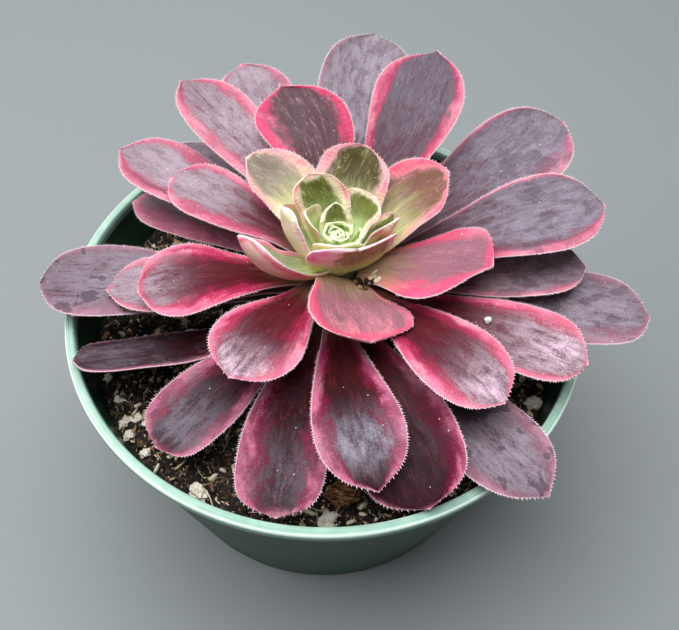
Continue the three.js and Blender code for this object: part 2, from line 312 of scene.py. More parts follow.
    def finish(self, colour: Feed, roughness: Feed, normal: Socket | None = None,
               **constants: Feed) -> bpy.types.Material:
        """Feeds the surface shader and gives the material.

        Args:
            colour: the base colour.
            roughness: the roughness.
            normal: the relief, if there is one.
            constants: values for other sockets, with underscores for the spaces in their names.

        Returns:
            The finished material.
        """
        self.feed(self.surface.inputs["Base Color"], colour)
        self.feed(self.surface.inputs["Roughness"], roughness)
        if normal is not None:
            self.feed(self.surface.inputs["Normal"], normal)
        for name, value in constants.items():
            self.surface.inputs[name.replace("_", " ")].default_value = value
        return self.material


class LeafPattern:
    """The values that each leaf carries, and the noises that its finish is mixed from."""

    def __init__(self, shader: Shader) -> None:
        """Reads the values and makes the noises.

        Args:
            shader: the material that they go into.
        """
        s = self.shader = shader
        _, self.share, self.face = s.split(s.attribute("place"))
        self.band, self.bloom_and_sheen, self.blush = s.split(s.attribute("bands"))
        # The third finish value masks the painted shade in the creases beside folded margins.
        self.edge, self.spots, self.crease_shade = s.split(s.attribute("finish"))
        self.soft = s.attribute("soft", "Fac")
        self.grain = s.attribute("grain")
        self.streak = self.noise((0.62, 0.11), (0, 0), 5.0, 0.62, 0.5)
        self.fine = self.noise((1.7, 0.32), (7, 3), 3.0, 0.6, 0.3)
        self.speckle = self.noise((2.1, 1.5), (3, 8), 3.0, 0.7)
        self.mottle = self.noise((0.33, 0.17), (5, 1), 4.0, 0.6, 0.4)
        self.broad = self.noise((0.13, 0.08), (2, 9), 1.0, 0.5)
        self.veins = s.shake(s.total((self.streak, 0.55), (self.fine, 0.45)), self.speckle, 0.3)
        # Where the waxy bloom lies; it also paints the sky's sheen as a painted reflection.
        self.dusting_and_sheen = s.times(self.bloom_and_sheen, s.step(self.cloud(), 0.36, 0.62, 0.15, 1.0))

    def noise(self, waves: tuple[float, float], shift: tuple[float, float], detail: float, rough: float,
              twist: float = 0.0) -> Socket:
        """Noise with so many waves a millimetre across the leaf and along it."""
        vector = self.shader.stretch(self.grain, (*waves, 1.0), (*shift, 0))
        return self.shader.noise(vector, 1.0, detail, rough, twist)

    def cloud(self) -> Socket:
        """The patches that the waxy bloom and its painted sheen lie in."""
        return self.shader.total((self.mottle, 0.45), (self.streak, 0.3), (self.speckle, 0.25))

    def core_mask(self) -> Socket:
        """1 in the core and 0 in the bright margin, with a ragged border between them."""
        wander = self.shader.math("SUBTRACT", self.band, 1.0)
        for source, weight in ((self.streak, 1.1), (self.fine, 0.5), (self.speckle, 0.7), (self.mottle, 1.7),
                               (self.broad, 1.0)):
            wander = self.shader.shake(wander, source, weight)
        return self.shader.step(self.shader.math("DIVIDE", wander, self.soft), -0.5, 0.5)

    def relief(self) -> Socket:
        """The fine relief of the skin, with wrinkles across its margin."""
        s = self.shader
        wrinkle = s.times(self.noise((0.3, 1.5), (4, 6), 2.0, 0.5), s.step(self.band, 1.4, 0.5))
        return s.total((self.fine, 0.35), (self.streak, 0.5), (self.speckle, 0.35), (self.mottle, 0.5),
                       (wrinkle, 1.0))


@dataclass(frozen=True)
class LeafTone:
    """The colours of a leaf at one age, and where its stalk's colour gives way to the blade's.

    rim is the margin's colour, rim_base the same further in and towards the base, and rim_dull that of a
    faded margin. core, core_far and core_light are the middle's colours near the base, towards the tip and in
    its pale streaks. The wax colour is the waxy bloom's, which also paints the sky's sheen as a painted
    reflection, and the crease colour is painted shade in the crease beside a folded margin. stalk is where
    the petiole's colour ends, as a share of the length, and stalk_blend how gently. shine is the skin's
    specular level and glow how much light passes through it.
    """

    name: str
    rim: str
    rim_base: str
    rim_dull: str
    core: str
    core_far: str
    core_light: str
    wax_and_sheen: str
    petiole: str
    under: str
    edge: str = "f6ccd4"
    crease_shade: str = "5c0c26"
    stain: str = "544754"
    roughness: float = 0.46
    streaks: float = 0.45
    stalk: float = 0.34
    stalk_blend: float = 0.24
    shine: float = 0.14
    glow: float = 0.0

    def build(self) -> bpy.types.Material:
        """Makes the skin: a streaked core in a bright margin, a waxy bloom with painted sheen towards the
        tip, painted shade in the creases and a pale edge.

        Returns:
            The material, which reads the values that each leaf carries.
        """
        s = Shader(f"leaf_skin_{self.name}")
        leaf = LeafPattern(s)
        core_mask = leaf.core_mask()
        rim = self._rim(s, leaf)
        colour = s.mix(core_mask, rim, self._core(s, leaf))
        # Painted shade in the crease beside a folded margin.
        colour = s.paint(colour, s.times(leaf.crease_shade, 0.8), self.crease_shade)
        colour = self._stained(s, leaf, colour)
        back = s.paint(srgb(self.under), s.step(leaf.veins, 0.42, 0.6), self.core_light)
        back = s.mix(core_mask, rim, back)
        colour = s.mix(s.step(leaf.face, 0.05, -0.05), colour, back)
        base = s.shake(s.shake(leaf.share, leaf.streak, 0.5), leaf.speckle, 0.15)
        stalk = s.step(base, self.stalk, self.stalk - self.stalk_blend, 0.0, 0.95)
        colour = s.paint(colour, stalk, self.petiole)
        tint = s.ramp(s.total((leaf.fine, 0.5), (leaf.speckle, 0.5)), (0.3, "5c5c5c"), (0.7, "a4a4a4"))
        colour = s.mix(0.45, colour, tint, "OVERLAY")
        colour = s.paint(colour, s.step(leaf.edge, 0.36, 0.1, 0.0, 0.8), self.edge)
        colour = s.paint(colour, s.step(s.cells(leaf.grain, 0.28), 0.055, 0.035, 0.0, 0.85), "f2ece6")
        gloss = s.add(s.add(self.roughness - 0.1, leaf.speckle, 0.2), leaf.dusting_and_sheen, 0.15)
        return s.finish(
            colour, gloss, s.bump(leaf.relief(), 0.0005, 0.7), IOR=1.45, Specular_IOR_Level=self.shine,
            Subsurface_Weight=self.glow, Subsurface_Scale=0.003, Subsurface_Radius=(1.0, 0.5, 0.35))

    def _core(self, s: Shader, leaf: LeafPattern) -> Socket:
        """The streaked middle of the blade, dusted with a waxy bloom that also paints the sky's sheen."""
        distal = s.step(s.shake(leaf.share, leaf.mottle, 0.8), 0.38, 0.72)
        core = s.paint(srgb(self.core), distal, self.core_far)
        core = s.paint(core, s.step(leaf.veins, 0.5, 0.7, 0.0, self.streaks), self.core_light)
        core = s.paint(core, s.step(leaf.veins, 0.5, 0.32, 0.0, 0.8), self.core)
        # The waxy bloom, which also paints the sky's sheen: a painted reflection.
        return s.paint(core, leaf.dusting_and_sheen, self.wax_and_sheen)

    def _rim(self, s: Shader, leaf: LeafPattern) -> Socket:
        """The bright margin, uneven in hue and duller where the leaf's blush is low, with a little waxy bloom
        and painted sheen.
        """
        inward = s.shake(s.shake(leaf.band, leaf.mottle, 2.0), leaf.streak, 0.8)
        flush = leaf.noise((0.19, 0.12), (9, 5), 1.0, 0.4, 0.3)
        rim = s.paint(srgb(self.rim), s.step(inward, 0.05, 0.95), self.rim_base)
        rim = s.paint(rim, s.step(leaf.share, 0.62, 0.3, 0.0, 0.75), self.rim_base)
        rim = s.paint(rim, s.step(flush, 0.54, 0.6, 0.0, 0.5), self.rim_base)
        rim = s.paint(rim, s.step(leaf.broad, 0.52, 0.68, 0.0, 0.25), self.edge)
        rim = s.paint(rim, s.step(leaf.speckle, 0.55, 0.72, 0.0, 0.25), self.edge)
        rim = s.paint(rim, s.step(leaf.speckle, 0.46, 0.3, 0.0, 0.45), self.rim_base)
        rim = s.mix(leaf.blush, srgb(self.rim_dull), rim)
        # A little waxy bloom over the margin, which also paints the sky's sheen: a painted reflection.
        return s.paint(rim, s.times(leaf.dusting_and_sheen, 0.35), self.wax_and_sheen)

    def _stained(self, s: Shader, leaf: LeafPattern, colour: Socket) -> Socket:
        """A colour with dried water stains, each in a pale ring."""
        blot = leaf.noise((0.17, 0.13), (1, 4), 2.0, 0.5, 0.3)
        colour = s.paint(colour, s.times(leaf.spots, s.step(blot, 0.555, 0.61, 0.0, 0.75)), self.stain)
        ring = s.times(s.times(s.step(blot, 0.52, 0.56), s.step(blot, 0.61, 0.57)), leaf.spots)
        return s.paint(colour, s.times(ring, s.step(leaf.speckle, 0.4, 0.6, 0.0, 0.4)), self.wax_and_sheen)


class Age(Enum):
    """How old a leaf is, which sets its colours; the shade and wine tones are darker copies with painted
    shade.
    """

    OLD = LeafTone(
        "old", rim="bc7a92", rim_base="8a3c58", rim_dull="a48c9c", core="401c28", core_far="7a6472",
        core_light="9a8492", wax_and_sheen="aaa0ac", petiole="6c5444", under="5c3844", edge="ecc8d4", stalk=0.3)
    PRIME = LeafTone(
        "prime", rim="ea92ae", rim_base="c44870", rim_dull="c098aa", core="7c3c48", core_far="8e7682",
        core_light="b48e9c", wax_and_sheen="bfacb8", petiole="94745c", under="8d5262")
    SLATE = LeafTone(
        "slate", rim="e484a2", rim_base="bc3c66", rim_dull="b48c9e", core="64404c", core_far="6c5f6c",
        core_light="958390", wax_and_sheen="a99eae", petiole="8c7060", under="84505e", shine=0.1)
    # A darker copy for leaves at the front: its dark core is painted shade.
    SHADED_WINE = LeafTone(
        "shaded_wine", rim="f28cb0", rim_base="c42c5a", rim_dull="b07c90", core="5e1a22", core_far="5a222f",
        core_light="8c3c4a", wax_and_sheen="e4ccdc", petiole="8a6850", under="7d4252", streaks=0.6, shine=0.07)
    # A darker copy for the lowest leaves at the front: its near-black core is painted shade.
    SHADE = LeafTone(
        "shade", rim="d0789a", rim_base="84183e", rim_dull="8c6674", core="481a1c", core_far="2e0e17",
        core_light="741c2a", wax_and_sheen="aaa2b2", petiole="6c5040", under="4c2430", edge="e8bcca", streaks=0.7,
        shine=0.05)
    DUSK = LeafTone(
        "dusk", rim="f85888", rim_base="d0406c", rim_dull="b07c92", core="604046", core_far="664a50",
        core_light="b08890", wax_and_sheen="ac9fb0", petiole="c8b098", under="7d4252", streaks=1.0, stalk=0.38)
    YOUNG = LeafTone(
        "young", rim="fa6c94", rim_base="e8507e", rim_dull="e08aa0", core="a06c74", core_far="8a6070",
        core_light="bc8490", wax_and_sheen="f09cac", petiole="d8c09c", under="c0707e", edge="fbd3da", streaks=0.8,
        stalk=0.48, stalk_blend=0.42, shine=0.1, glow=0.15)
    PALE = LeafTone(
        "pale", rim="f6a0b4", rim_base="f6d4cc", rim_dull="e6b4b4", core="8a8062", core_far="9c9080",
        core_light="dacfb8", wax_and_sheen="ccc0b0", petiole="eef2c4", under="c0a088", edge="fce6e2", streaks=1.0,
        stalk=0.78, stalk_blend=0.56, shine=0.14, glow=0.3)
    ROSE = LeafTone(
        "rose", rim="fa6e98", rim_base="f8a4b0", rim_dull="efb3ac", core="948240", core_far="906458",
        core_light="ba9480", wax_and_sheen="a59683", petiole="eceec0", under="c8806e", edge="fbd0d2", streaks=0.85,
        stalk=0.74, stalk_blend=0.56, shine=0.14, glow=0.3)
    INNER = LeafTone(
        "inner", rim="f48aa8", rim_base="f8c6cc", rim_dull="efb3ac", core="5c5c24", core_far="544a28",
        core_light="a8a468", wax_and_sheen="a59683", petiole="ecefc0", under="c8806e", edge="fbd0d2", streaks=0.8,
        stalk=0.7, stalk_blend=0.5, shine=0.2, glow=0.3)
    HEART = LeafTone(
        "heart", rim="f6a8b0", rim_base="fbf4da", rim_dull="f8f0d0", core="8cb056", core_far="767a3c",
        core_light="cade98", wax_and_sheen="d5dfa6", petiole="f6fad6", under="ffdcd4", edge="fdeee4", streaks=0.8,
        stalk=0.66, stalk_blend=0.56, shine=0.16, glow=0.35)
    CREAM = LeafTone(
        "cream", rim="fac8c6", rim_base="fdecdc", rim_dull="efe3bd", core="b8c986", core_far="c9cc98",
        core_light="e4eab8", wax_and_sheen="d5dfa6", petiole="eaf0be", under="ffe2d8", edge="fdf0ea", streaks=0.7,
        stalk=0.46, stalk_blend=0.4, shine=0.25, glow=0.4)
    SHEATH = LeafTone(
        "sheath", rim="fcc4d0", rim_base="f4809e", rim_dull="efb3ac", core="a8b084", core_far="aca68a",
        core_light="d2d4b0", wax_and_sheen="d5cfb4", petiole="e8ecb8", under="ffc0cc", edge="fdf2ec", streaks=0.8,
        stalk=0.4, stalk_blend=0.34, shine=0.25, glow=0.4)
    CRADLE = LeafTone(
        "cradle", rim="ffa2c8", rim_base="ffdae6", rim_dull="efb3ac", core="80a050", core_far="80703c",
        core_light="c8ae84", wax_and_sheen="d5cfb4", petiole="eef6b0", under="a88c66", edge="fdf4ee", streaks=0.6,
        stalk=0.56, stalk_blend=0.5, shine=0.16, glow=0.5)
    BUD = LeafTone(
        "bud", rim="f2f5cc", rim_base="e8f0bc", rim_dull="f2f4cc", core="9abc66", core_far="8aac54",
        core_light="c8dc92", wax_and_sheen="e4eeb8", petiole="e6efb8", under="e2ecb2", edge="f8f9dc", streaks=0.5,
        stalk=0.5, stalk_blend=0.3, shine=0.25, glow=0.35)


@dataclass(frozen=True)
class LeafForm:
    """The shape of one leaf, as in the solids.

    turn is its heading around the stem and seat its height there. rise is how steeply its base climbs,
    and bend how much more its tip does. roll turns it about its midrib, cup lifts its margins and sweep
    swings its tip aside. reach is how far its base is from the stem's axis, or 0 where it lies against the
    stem, and skew turns it about its base.
    """

    name: str
    turn: float
    seat: float
    rise: float
    bend: float
    length: float
    width: float
    roll: float
    cup: float
    sweep: float
    reach: float = 0.0
    skew: float = 0.0


@dataclass(frozen=True)
class LeafLook:
    """How one leaf is coloured, and how its blade departs from the plain form.

    left, right and tip are the widths of the bright margin, and soft how gently it gives way to the core.
    blush is how vivid it is. The bloom values give the strength of the waxy dusting, which also paints the
    sky's sheen as a painted reflection, and its middle along the leaf, and span its reach from there. blunt
    rounds the tip, hook draws it to the left, and lopside fills out the left shoulder and trims the right
    one.
    A sided leaf has its first outline on the left and its second on the right. fold_left and fold_right lift
    a margin.
    """

    age: Age
    left: float
    right: float
    tip: float
    blush: float = 0.8
    bloom_and_sheen: float = 0.6
    bloom_and_sheen_at: float = 0.78
    spots: float = 0.0
    blunt: float = 0.0
    fold_left: float = 0.0
    fold_right: float = 0.0
    soft: float = 0.9
    span: float = 0.17
    hook: float = 0.0
    lopside: float = 0.0
    sided: bool = False

    def fold(self, across: float) -> float:
        """How far the margin on the side that across names is lifted."""
        return self.fold_left if across > 0 else self.fold_right


LEAF_FORMS = (
    LeafForm("leaf_00", 134, 80.8, 8, 0, 77, 22, 0, 0.18, 0),
    LeafForm("leaf_01", -148, 81.3, 0, 12, 75, 24, 28, 0.1, -20),
    LeafForm("leaf_02", -50, 82, 5.5, 0, 82, 27, -3, 0.14, 0),
    LeafForm("leaf_03", 86, 84, 31, -8, 86, 31, 0, 0.18, -6),
    LeafForm("leaf_04", -7, 84.5, 9, -7, 88, 28, 0, 0.18, 0),
    LeafForm("leaf_05", -178, 84.2, 8, -4, 83, 28, 0, 0.18, 6),
    LeafForm("leaf_06", 147, 86.8, 9, -8, 68, 21, 0, 0.18, 22),
    LeafForm("leaf_07", -70, 86.3, 14.5, -25, 70, 29, 11, 0.18, 0),
    LeafForm("leaf_08", -129, 87, 3, -11, 66, 22, 0, 0.18, -3),
    LeafForm("leaf_09", 3, 87.5, 13, -10, 70, 24, 0, 0.18, 0),
    LeafForm("leaf_10", 116, 89.6, 24, -7, 78, 27, 0, 0.18, 0),
    LeafForm("leaf_11", -107, 89.5, 4, -14, 69.5, 24, 0, 0.18, 16),
    LeafForm("leaf_12", -172, 89.5, 9, -9, 62, 22, 0, 0.18, 0),
    LeafForm("leaf_13", -27, 90, 14, -15, 71, 25, 0, 0.18, 5),
    LeafForm("leaf_14", 34, 90.2, 21, -5, 83, 30, 12, 0.18, 0),
    LeafForm("leaf_15", 150, 92, 18, -10, 74, 24, 0, 0.18, 6),
    LeafForm("leaf_16", -88, 92.2, 12, -17, 66, 24, 0, 0.18, 18),
    LeafForm("leaf_17", 11, 93.2, 22, -17, 77, 28, 10, 0.18, 2),
    LeafForm("leaf_18", 125, 94.7, 27, -15, 76, 22, 0, 0.18, 15),
    LeafForm("leaf_19", -167, 94.7, 14, -14, 52, 26, 0, 0.18, 0),
    LeafForm("leaf_20", -46, 95, 14, -18, 59, 25, 0, 0.18, 0),
    LeafForm("leaf_21", 62, 96, 32, -12, 74, 29, 0, 0.18, 5),
    LeafForm("leaf_22", 154, 97.3, 23, -15, 51, 22, 0, 0.18, 8),
    LeafForm("leaf_23", -121, 97.3, 17, -19, 45, 26, 0, 0.18, 0),
    LeafForm("leaf_24", -10, 98.2, 26, -18, 40, 25, 0, 0.18, 0),
    LeafForm("leaf_25", 99, 98.3, 41, -14, 54, 28, 0, 0.18, 17),
    LeafForm("leaf_26", -79, 99.5, 25, -24, 28.5, 32, -22, 0.18, 14),
    LeafForm("leaf_27", 36.5, 100.4, 40, -6, 36.5, 21.2, 5, 0.25, -10),
    LeafForm("leaf_28", 126, 101.5, 38, -8, 35, 19.5, 4, 0.25, 24),
    LeafForm("leaf_29", 83, 103.6, 44, -9, 28.5, 22.5, -6, 0.25, -18),
)

LEAF_LOOKS = (
    LeafLook(Age.OLD, 3, 3, 2, 0.3, 0.5),
    LeafLook(Age.SHADE, 1.6, 1.2, 1, 0.45, 0.35, bloom_and_sheen_at=0.85, spots=0.5, blunt=1.7, span=0.2),
    LeafLook(Age.OLD, 4, 3.5, 2.5, 0.75, 0.7, bloom_and_sheen_at=0.8, spots=0.9, soft=1.2, span=0.2),
    LeafLook(Age.OLD, 2.0, 1.5, 1, 0.5, 1.0, bloom_and_sheen_at=0.75, spots=0.35, blunt=0.6, span=0.8),
    LeafLook(Age.OLD, 3, 6, 1.5, 0.7, 0.9, bloom_and_sheen_at=0.75, spots=0.6, blunt=0.9, soft=1.2, span=0.35),
    LeafLook(Age.OLD, 4.5, 2.0, 1, 0.55, 0.7, bloom_and_sheen_at=0.65, spots=0.9, blunt=0.7, soft=1.5, span=0.3),
    LeafLook(Age.PRIME, 9, 3, 4, 0.65),
    LeafLook(Age.SHADE, 4.5, 2, 1, 1.0, 0.12, bloom_and_sheen_at=0.72, blunt=1.0, fold_left=1.5, soft=1.5, span=0.2),
    LeafLook(Age.SHADE, 4, 5, 1.5, 0.85, 0.5, bloom_and_sheen_at=0.84, blunt=1.5, soft=1.0),
    LeafLook(Age.PRIME, 2, 2.5, 1.5, 0.7, 0.8, bloom_and_sheen_at=0.8, spots=0.5, blunt=0.3, span=0.3),
    LeafLook(Age.PRIME, 3, 3, 2, 0.75, 1.0, bloom_and_sheen_at=0.75, spots=0.2, blunt=0.2, span=0.5),
    LeafLook(Age.SHADE, 6, 6, 2.5, 0.95, 0.3, bloom_and_sheen_at=0.84, spots=0.2, blunt=1.4, span=0.16),
    LeafLook(Age.PRIME, 3, 3, 2, 0.7, 0.9, bloom_and_sheen_at=0.8, span=0.5),
    LeafLook(Age.SHADED_WINE, 4, 2.5, 1, 0.95, 1.0, bloom_and_sheen_at=0.92, blunt=0.5, soft=1.2, span=0.26),
    LeafLook(Age.SLATE, 1.2, 6, 1.5, 0.75, 0.75, bloom_and_sheen_at=0.85, spots=0.5, blunt=0.5, soft=1.1, span=0.35),
    LeafLook(Age.PRIME, 5, 3.5, 0.6, 0.9, 0.95, bloom_and_sheen_at=0.7, fold_left=1.5, span=0.4),
    LeafLook(Age.SHADE, 5.5, 4.5, 0.6, 1.0, 1.0, bloom_and_sheen_at=0.79, span=0.11),
    LeafLook(Age.SLATE, 1.2, 4.5, 1, 0.85, 0.85, bloom_and_sheen_at=0.8, spots=0.45, fold_right=1.8, span=0.35),
    LeafLook(Age.PRIME, 4.5, 3.5, 0.6, 0.95, 0.9, bloom_and_sheen_at=0.65, span=0.35),
    LeafLook(Age.SHADED_WINE, 5.5, 4.5, 2, 1.0, 0.55, bloom_and_sheen_at=0.92, blunt=0.2, soft=1.3, span=0.16, hook=0.35,
             lopside=-0.6),
    LeafLook(Age.SHADED_WINE, 3.5, 5, 1, 1.0, 1.0, bloom_and_sheen_at=0.93, blunt=0.3, soft=1.2, span=0.18),
    LeafLook(Age.SLATE, 3.8, 3.5, 0.5, 0.95, 0.1, bloom_and_sheen_at=0.7, spots=0.2, blunt=-0.6, soft=0.7, hook=0.25),
    LeafLook(Age.PRIME, 4.5, 3, 2, 1.0, 0.9, bloom_and_sheen_at=0.85, blunt=0.2, span=0.3),
    LeafLook(Age.SHADED_WINE, 5.5, 3.5, 0.8, 1.0, 1.0, bloom_and_sheen_at=0.92, blunt=0.4, soft=1.3, span=0.15),
    LeafLook(Age.YOUNG, 3.4, 4.8, 2.2, 1.0, 0.3, bloom_and_sheen_at=0.75, soft=1.2, span=0.4, sided=True),
    LeafLook(Age.DUSK, 6.5, 4, 0.5, 0.9, 0.1, bloom_and_sheen_at=0.7, blunt=-1.0, hook=0.6),
    LeafLook(Age.YOUNG, 2.2, 2.8, 2.6, 0.9, 1.0, bloom_and_sheen_at=0.95, span=0.4),
    LeafLook(Age.ROSE, 4.5, 2.5, 2, 1.0, 0.2, bloom_and_sheen_at=0.5, hook=-0.4, lopside=0.7),
    LeafLook(Age.PALE, 3, 3.5, 1, 0.9, 0.3, bloom_and_sheen_at=0.6, span=0.4, hook=0.6, lopside=-0.7),
    LeafLook(Age.INNER, 4, 3, 0.8, 0.9, 0.1, bloom_and_sheen_at=0.5),
)

BLADE_BASE: Rows = (
    (0.0, 0.30), (0.08, 0.305), (0.16, 0.335), (0.24, 0.39), (0.32, 0.48), (0.4, 0.595), (0.48, 0.72),
    (0.56, 0.84), (0.63, 0.93), (0.7, 0.985), (0.76, 1.0),
)
BLADE_OUTLINE: Rows = (
    *BLADE_BASE, (0.82, 0.955), (0.87, 0.86), (0.91, 0.72), (0.945, 0.51), (0.967, 0.31), (0.982, 0.155),
    (0.992, 0.065), (1.0, 0.0),
)
BLUNT_OUTLINE: Rows = (
    *BLADE_BASE, (0.82, 0.985), (0.87, 0.935), (0.91, 0.85), (0.945, 0.69), (0.967, 0.5), (0.982, 0.28),
    (0.992, 0.11), (1.0, 0.0),
)
SPOON: Rows = (
    (0.0, 0.32), (0.25, 0.52), (0.5, 0.85), (0.7, 1.0), (0.87, 0.79), (0.95, 0.45), (0.985, 0.14),
    (1.0, 0.0),
)
BROAD: Rows = (
    (0.0, 0.62), (0.15, 0.8), (0.35, 0.9), (0.7, 1.0), (0.87, 0.82), (0.95, 0.48), (0.985, 0.16),
    (1.0, 0.0),
)
DEEP: Rows = ((0.0, 0.8), (0.3, 0.94), (0.7, 1.0), (0.87, 0.88), (0.95, 0.52), (0.985, 0.18), (1.0, 0.0))
BOAT: Rows = (
    (0.0, 0.55), (0.15, 0.72), (0.3, 0.86), (0.45, 0.95), (0.62, 1.0), (0.75, 0.91), (0.87, 0.67),
    (0.95, 0.36), (1.0, 0.0),
)
BLUNT: Rows = (
    (0.0, 0.5), (0.15, 0.64), (0.3, 0.76), (0.6, 0.96), (0.75, 1.0), (0.87, 0.9), (0.95, 0.63),
    (0.985, 0.36), (1.0, 0.0),
)
OGIVE: Rows = ((0.0, 0.7), (0.2, 0.95), (0.45, 1.0), (0.65, 0.88), (0.8, 0.66), (0.9, 0.4), (1.0, 0.0))
HALE: Rows = (
    (0.0, 0.62), (0.15, 0.8), (0.35, 0.95), (0.58, 1.0), (0.74, 0.95), (0.87, 0.7), (0.95, 0.34),
    (0.985, 0.11), (1.0, 0.0),
)
FAN: Rows = (
    (0.0, 0.5), (0.15, 0.56), (0.35, 0.7), (0.55, 0.9), (0.72, 1.0), (0.84, 0.96), (0.92, 0.76),
    (0.967, 0.42), (0.99, 0.12), (1.0, 0.0),
)
SHOULDER: Rows = (
    (0.0, 0.45), (0.3, 0.5), (0.45, 0.6), (0.6, 0.83), (0.75, 1.01), (0.85, 1.02), (0.92, 0.92),
    (0.967, 0.66), (0.99, 0.3), (1.0, 0.0),
)
BELLY: Rows = (
    (0.0, 0.5), (0.15, 0.62), (0.3, 0.9), (0.42, 1.13), (0.53, 1.21), (0.65, 1.12), (0.75, 0.87),
    (0.85, 0.46), (0.93, 0.19), (1.0, 0.0),
)
OWN_OUTLINES = {
    "leaf_24": (SHOULDER, BELLY), "leaf_26": (FAN, FAN), "leaf_27": (HALE, HALE), "leaf_28": (HALE, HALE),
    "leaf_29": (HALE, HALE),
}
THIN_LEAVES = ("leaf_27", "leaf_28", "leaf_29")
THICKNESS_ALONG: Rows = ((0.0, 0.85), (0.3, 1.0), (0.6, 0.95), (0.85, 0.7), (0.97, 0.42), (1.0, 0.1))

GREEN_LOOK = LeafLook(Age.HEART, 3.0, 3.0, 1.6, 0.9, 0.1, bloom_and_sheen_at=0.5)
BUD_LOOK = LeafLook(Age.BUD, 1.3, 1.3, 0.9, 0.9, 0.1, bloom_and_sheen_at=0.5)

GREEN_LEFT = replace(GREEN_LOOK, hook=0.6, lopside=-0.8)
GREEN_RIGHT = replace(GREEN_LOOK, hook=-0.5, lopside=0.7)

HEART_LEAVES = (
    (LeafForm("a", -115, 102.4, -9, 87, 32.5, 16, 16, 0.6, -34, 5.5, -39), BOAT,
     LeafLook(Age.SHEATH, 1.4, 1.2, 1.6, 1.0, 0.1, bloom_and_sheen_at=0.5)),
    (LeafForm("b", -153, 102.2, 34, 50, 22.5, 17, 8, 0.55, -34, 5.2, -22), BLUNT,
     LeafLook(Age.CREAM, 2.0, 1.8, 3.0, 1.0, 0.1, bloom_and_sheen_at=0.5)),
    (LeafForm("c", -53, 102.7, 78, -20, 17.2, 27.2, 2, 0.2, 0, 6.6, -20), DEEP,
     LeafLook(Age.CRADLE, 3.0, 8.5, 0.7, 1.0, 0.0, bloom_and_sheen_at=0.5, soft=0.6)),
    (LeafForm("d", 116, 104, 56, 0, 22, 16.5, 0, 0.3, 0, 4, 0), BROAD, GREEN_LEFT),
    (LeafForm("e", 53, 105.4, 53, 0, 17, 17.5, -16, 0.25, 0, 3.8, -6), BROAD, GREEN_RIGHT),
    (LeafForm("f", -1, 104, 34, 24, 19.5, 13.5, -19, 0.5, 14, 4, 0), BOAT,
     LeafLook(Age.HEART, 2.0, 2.5, 1.5, 1.0, 0.0, bloom_and_sheen_at=0.5)),
    (LeafForm("g", 95, 107, 60, 0, 11.5, 10, 0, 0.3, 0, 2.5, 0), OGIVE,
     LeafLook(Age.HEART, 2.2, 2.2, 0.5, 0.1, 0.0)),
    (LeafForm("i", 165, 106, 50, 14, 13.5, 11, 20, 0.5, 0, 3, -10), BROAD,
     LeafLook(Age.CREAM, 1.8, 1.8, 1.2, 0.5, 0.1, bloom_and_sheen_at=0.5)),
    (LeafForm("k", -22, 106, 70, -12, 9, 9, 0, 0.2, 0, 3.5, 0), BROAD, BUD_LOOK),
    (LeafForm("n", 66, 107.5, 66, 10, 6.5, 7.5, 0, 0.3, 0, 1.8, 0), SPOON, BUD_LOOK),
    (LeafForm("m", 145, 107.5, 66, 10, 6.5, 6, 0, 0.3, 0, 1.8, 0), SPOON, BUD_LOOK),
    (LeafForm("p", -84, 104, 82, -16, 12.5, 15, 0, 0.2, 0, 4.6, 0), BROAD, BUD_LOOK),
)


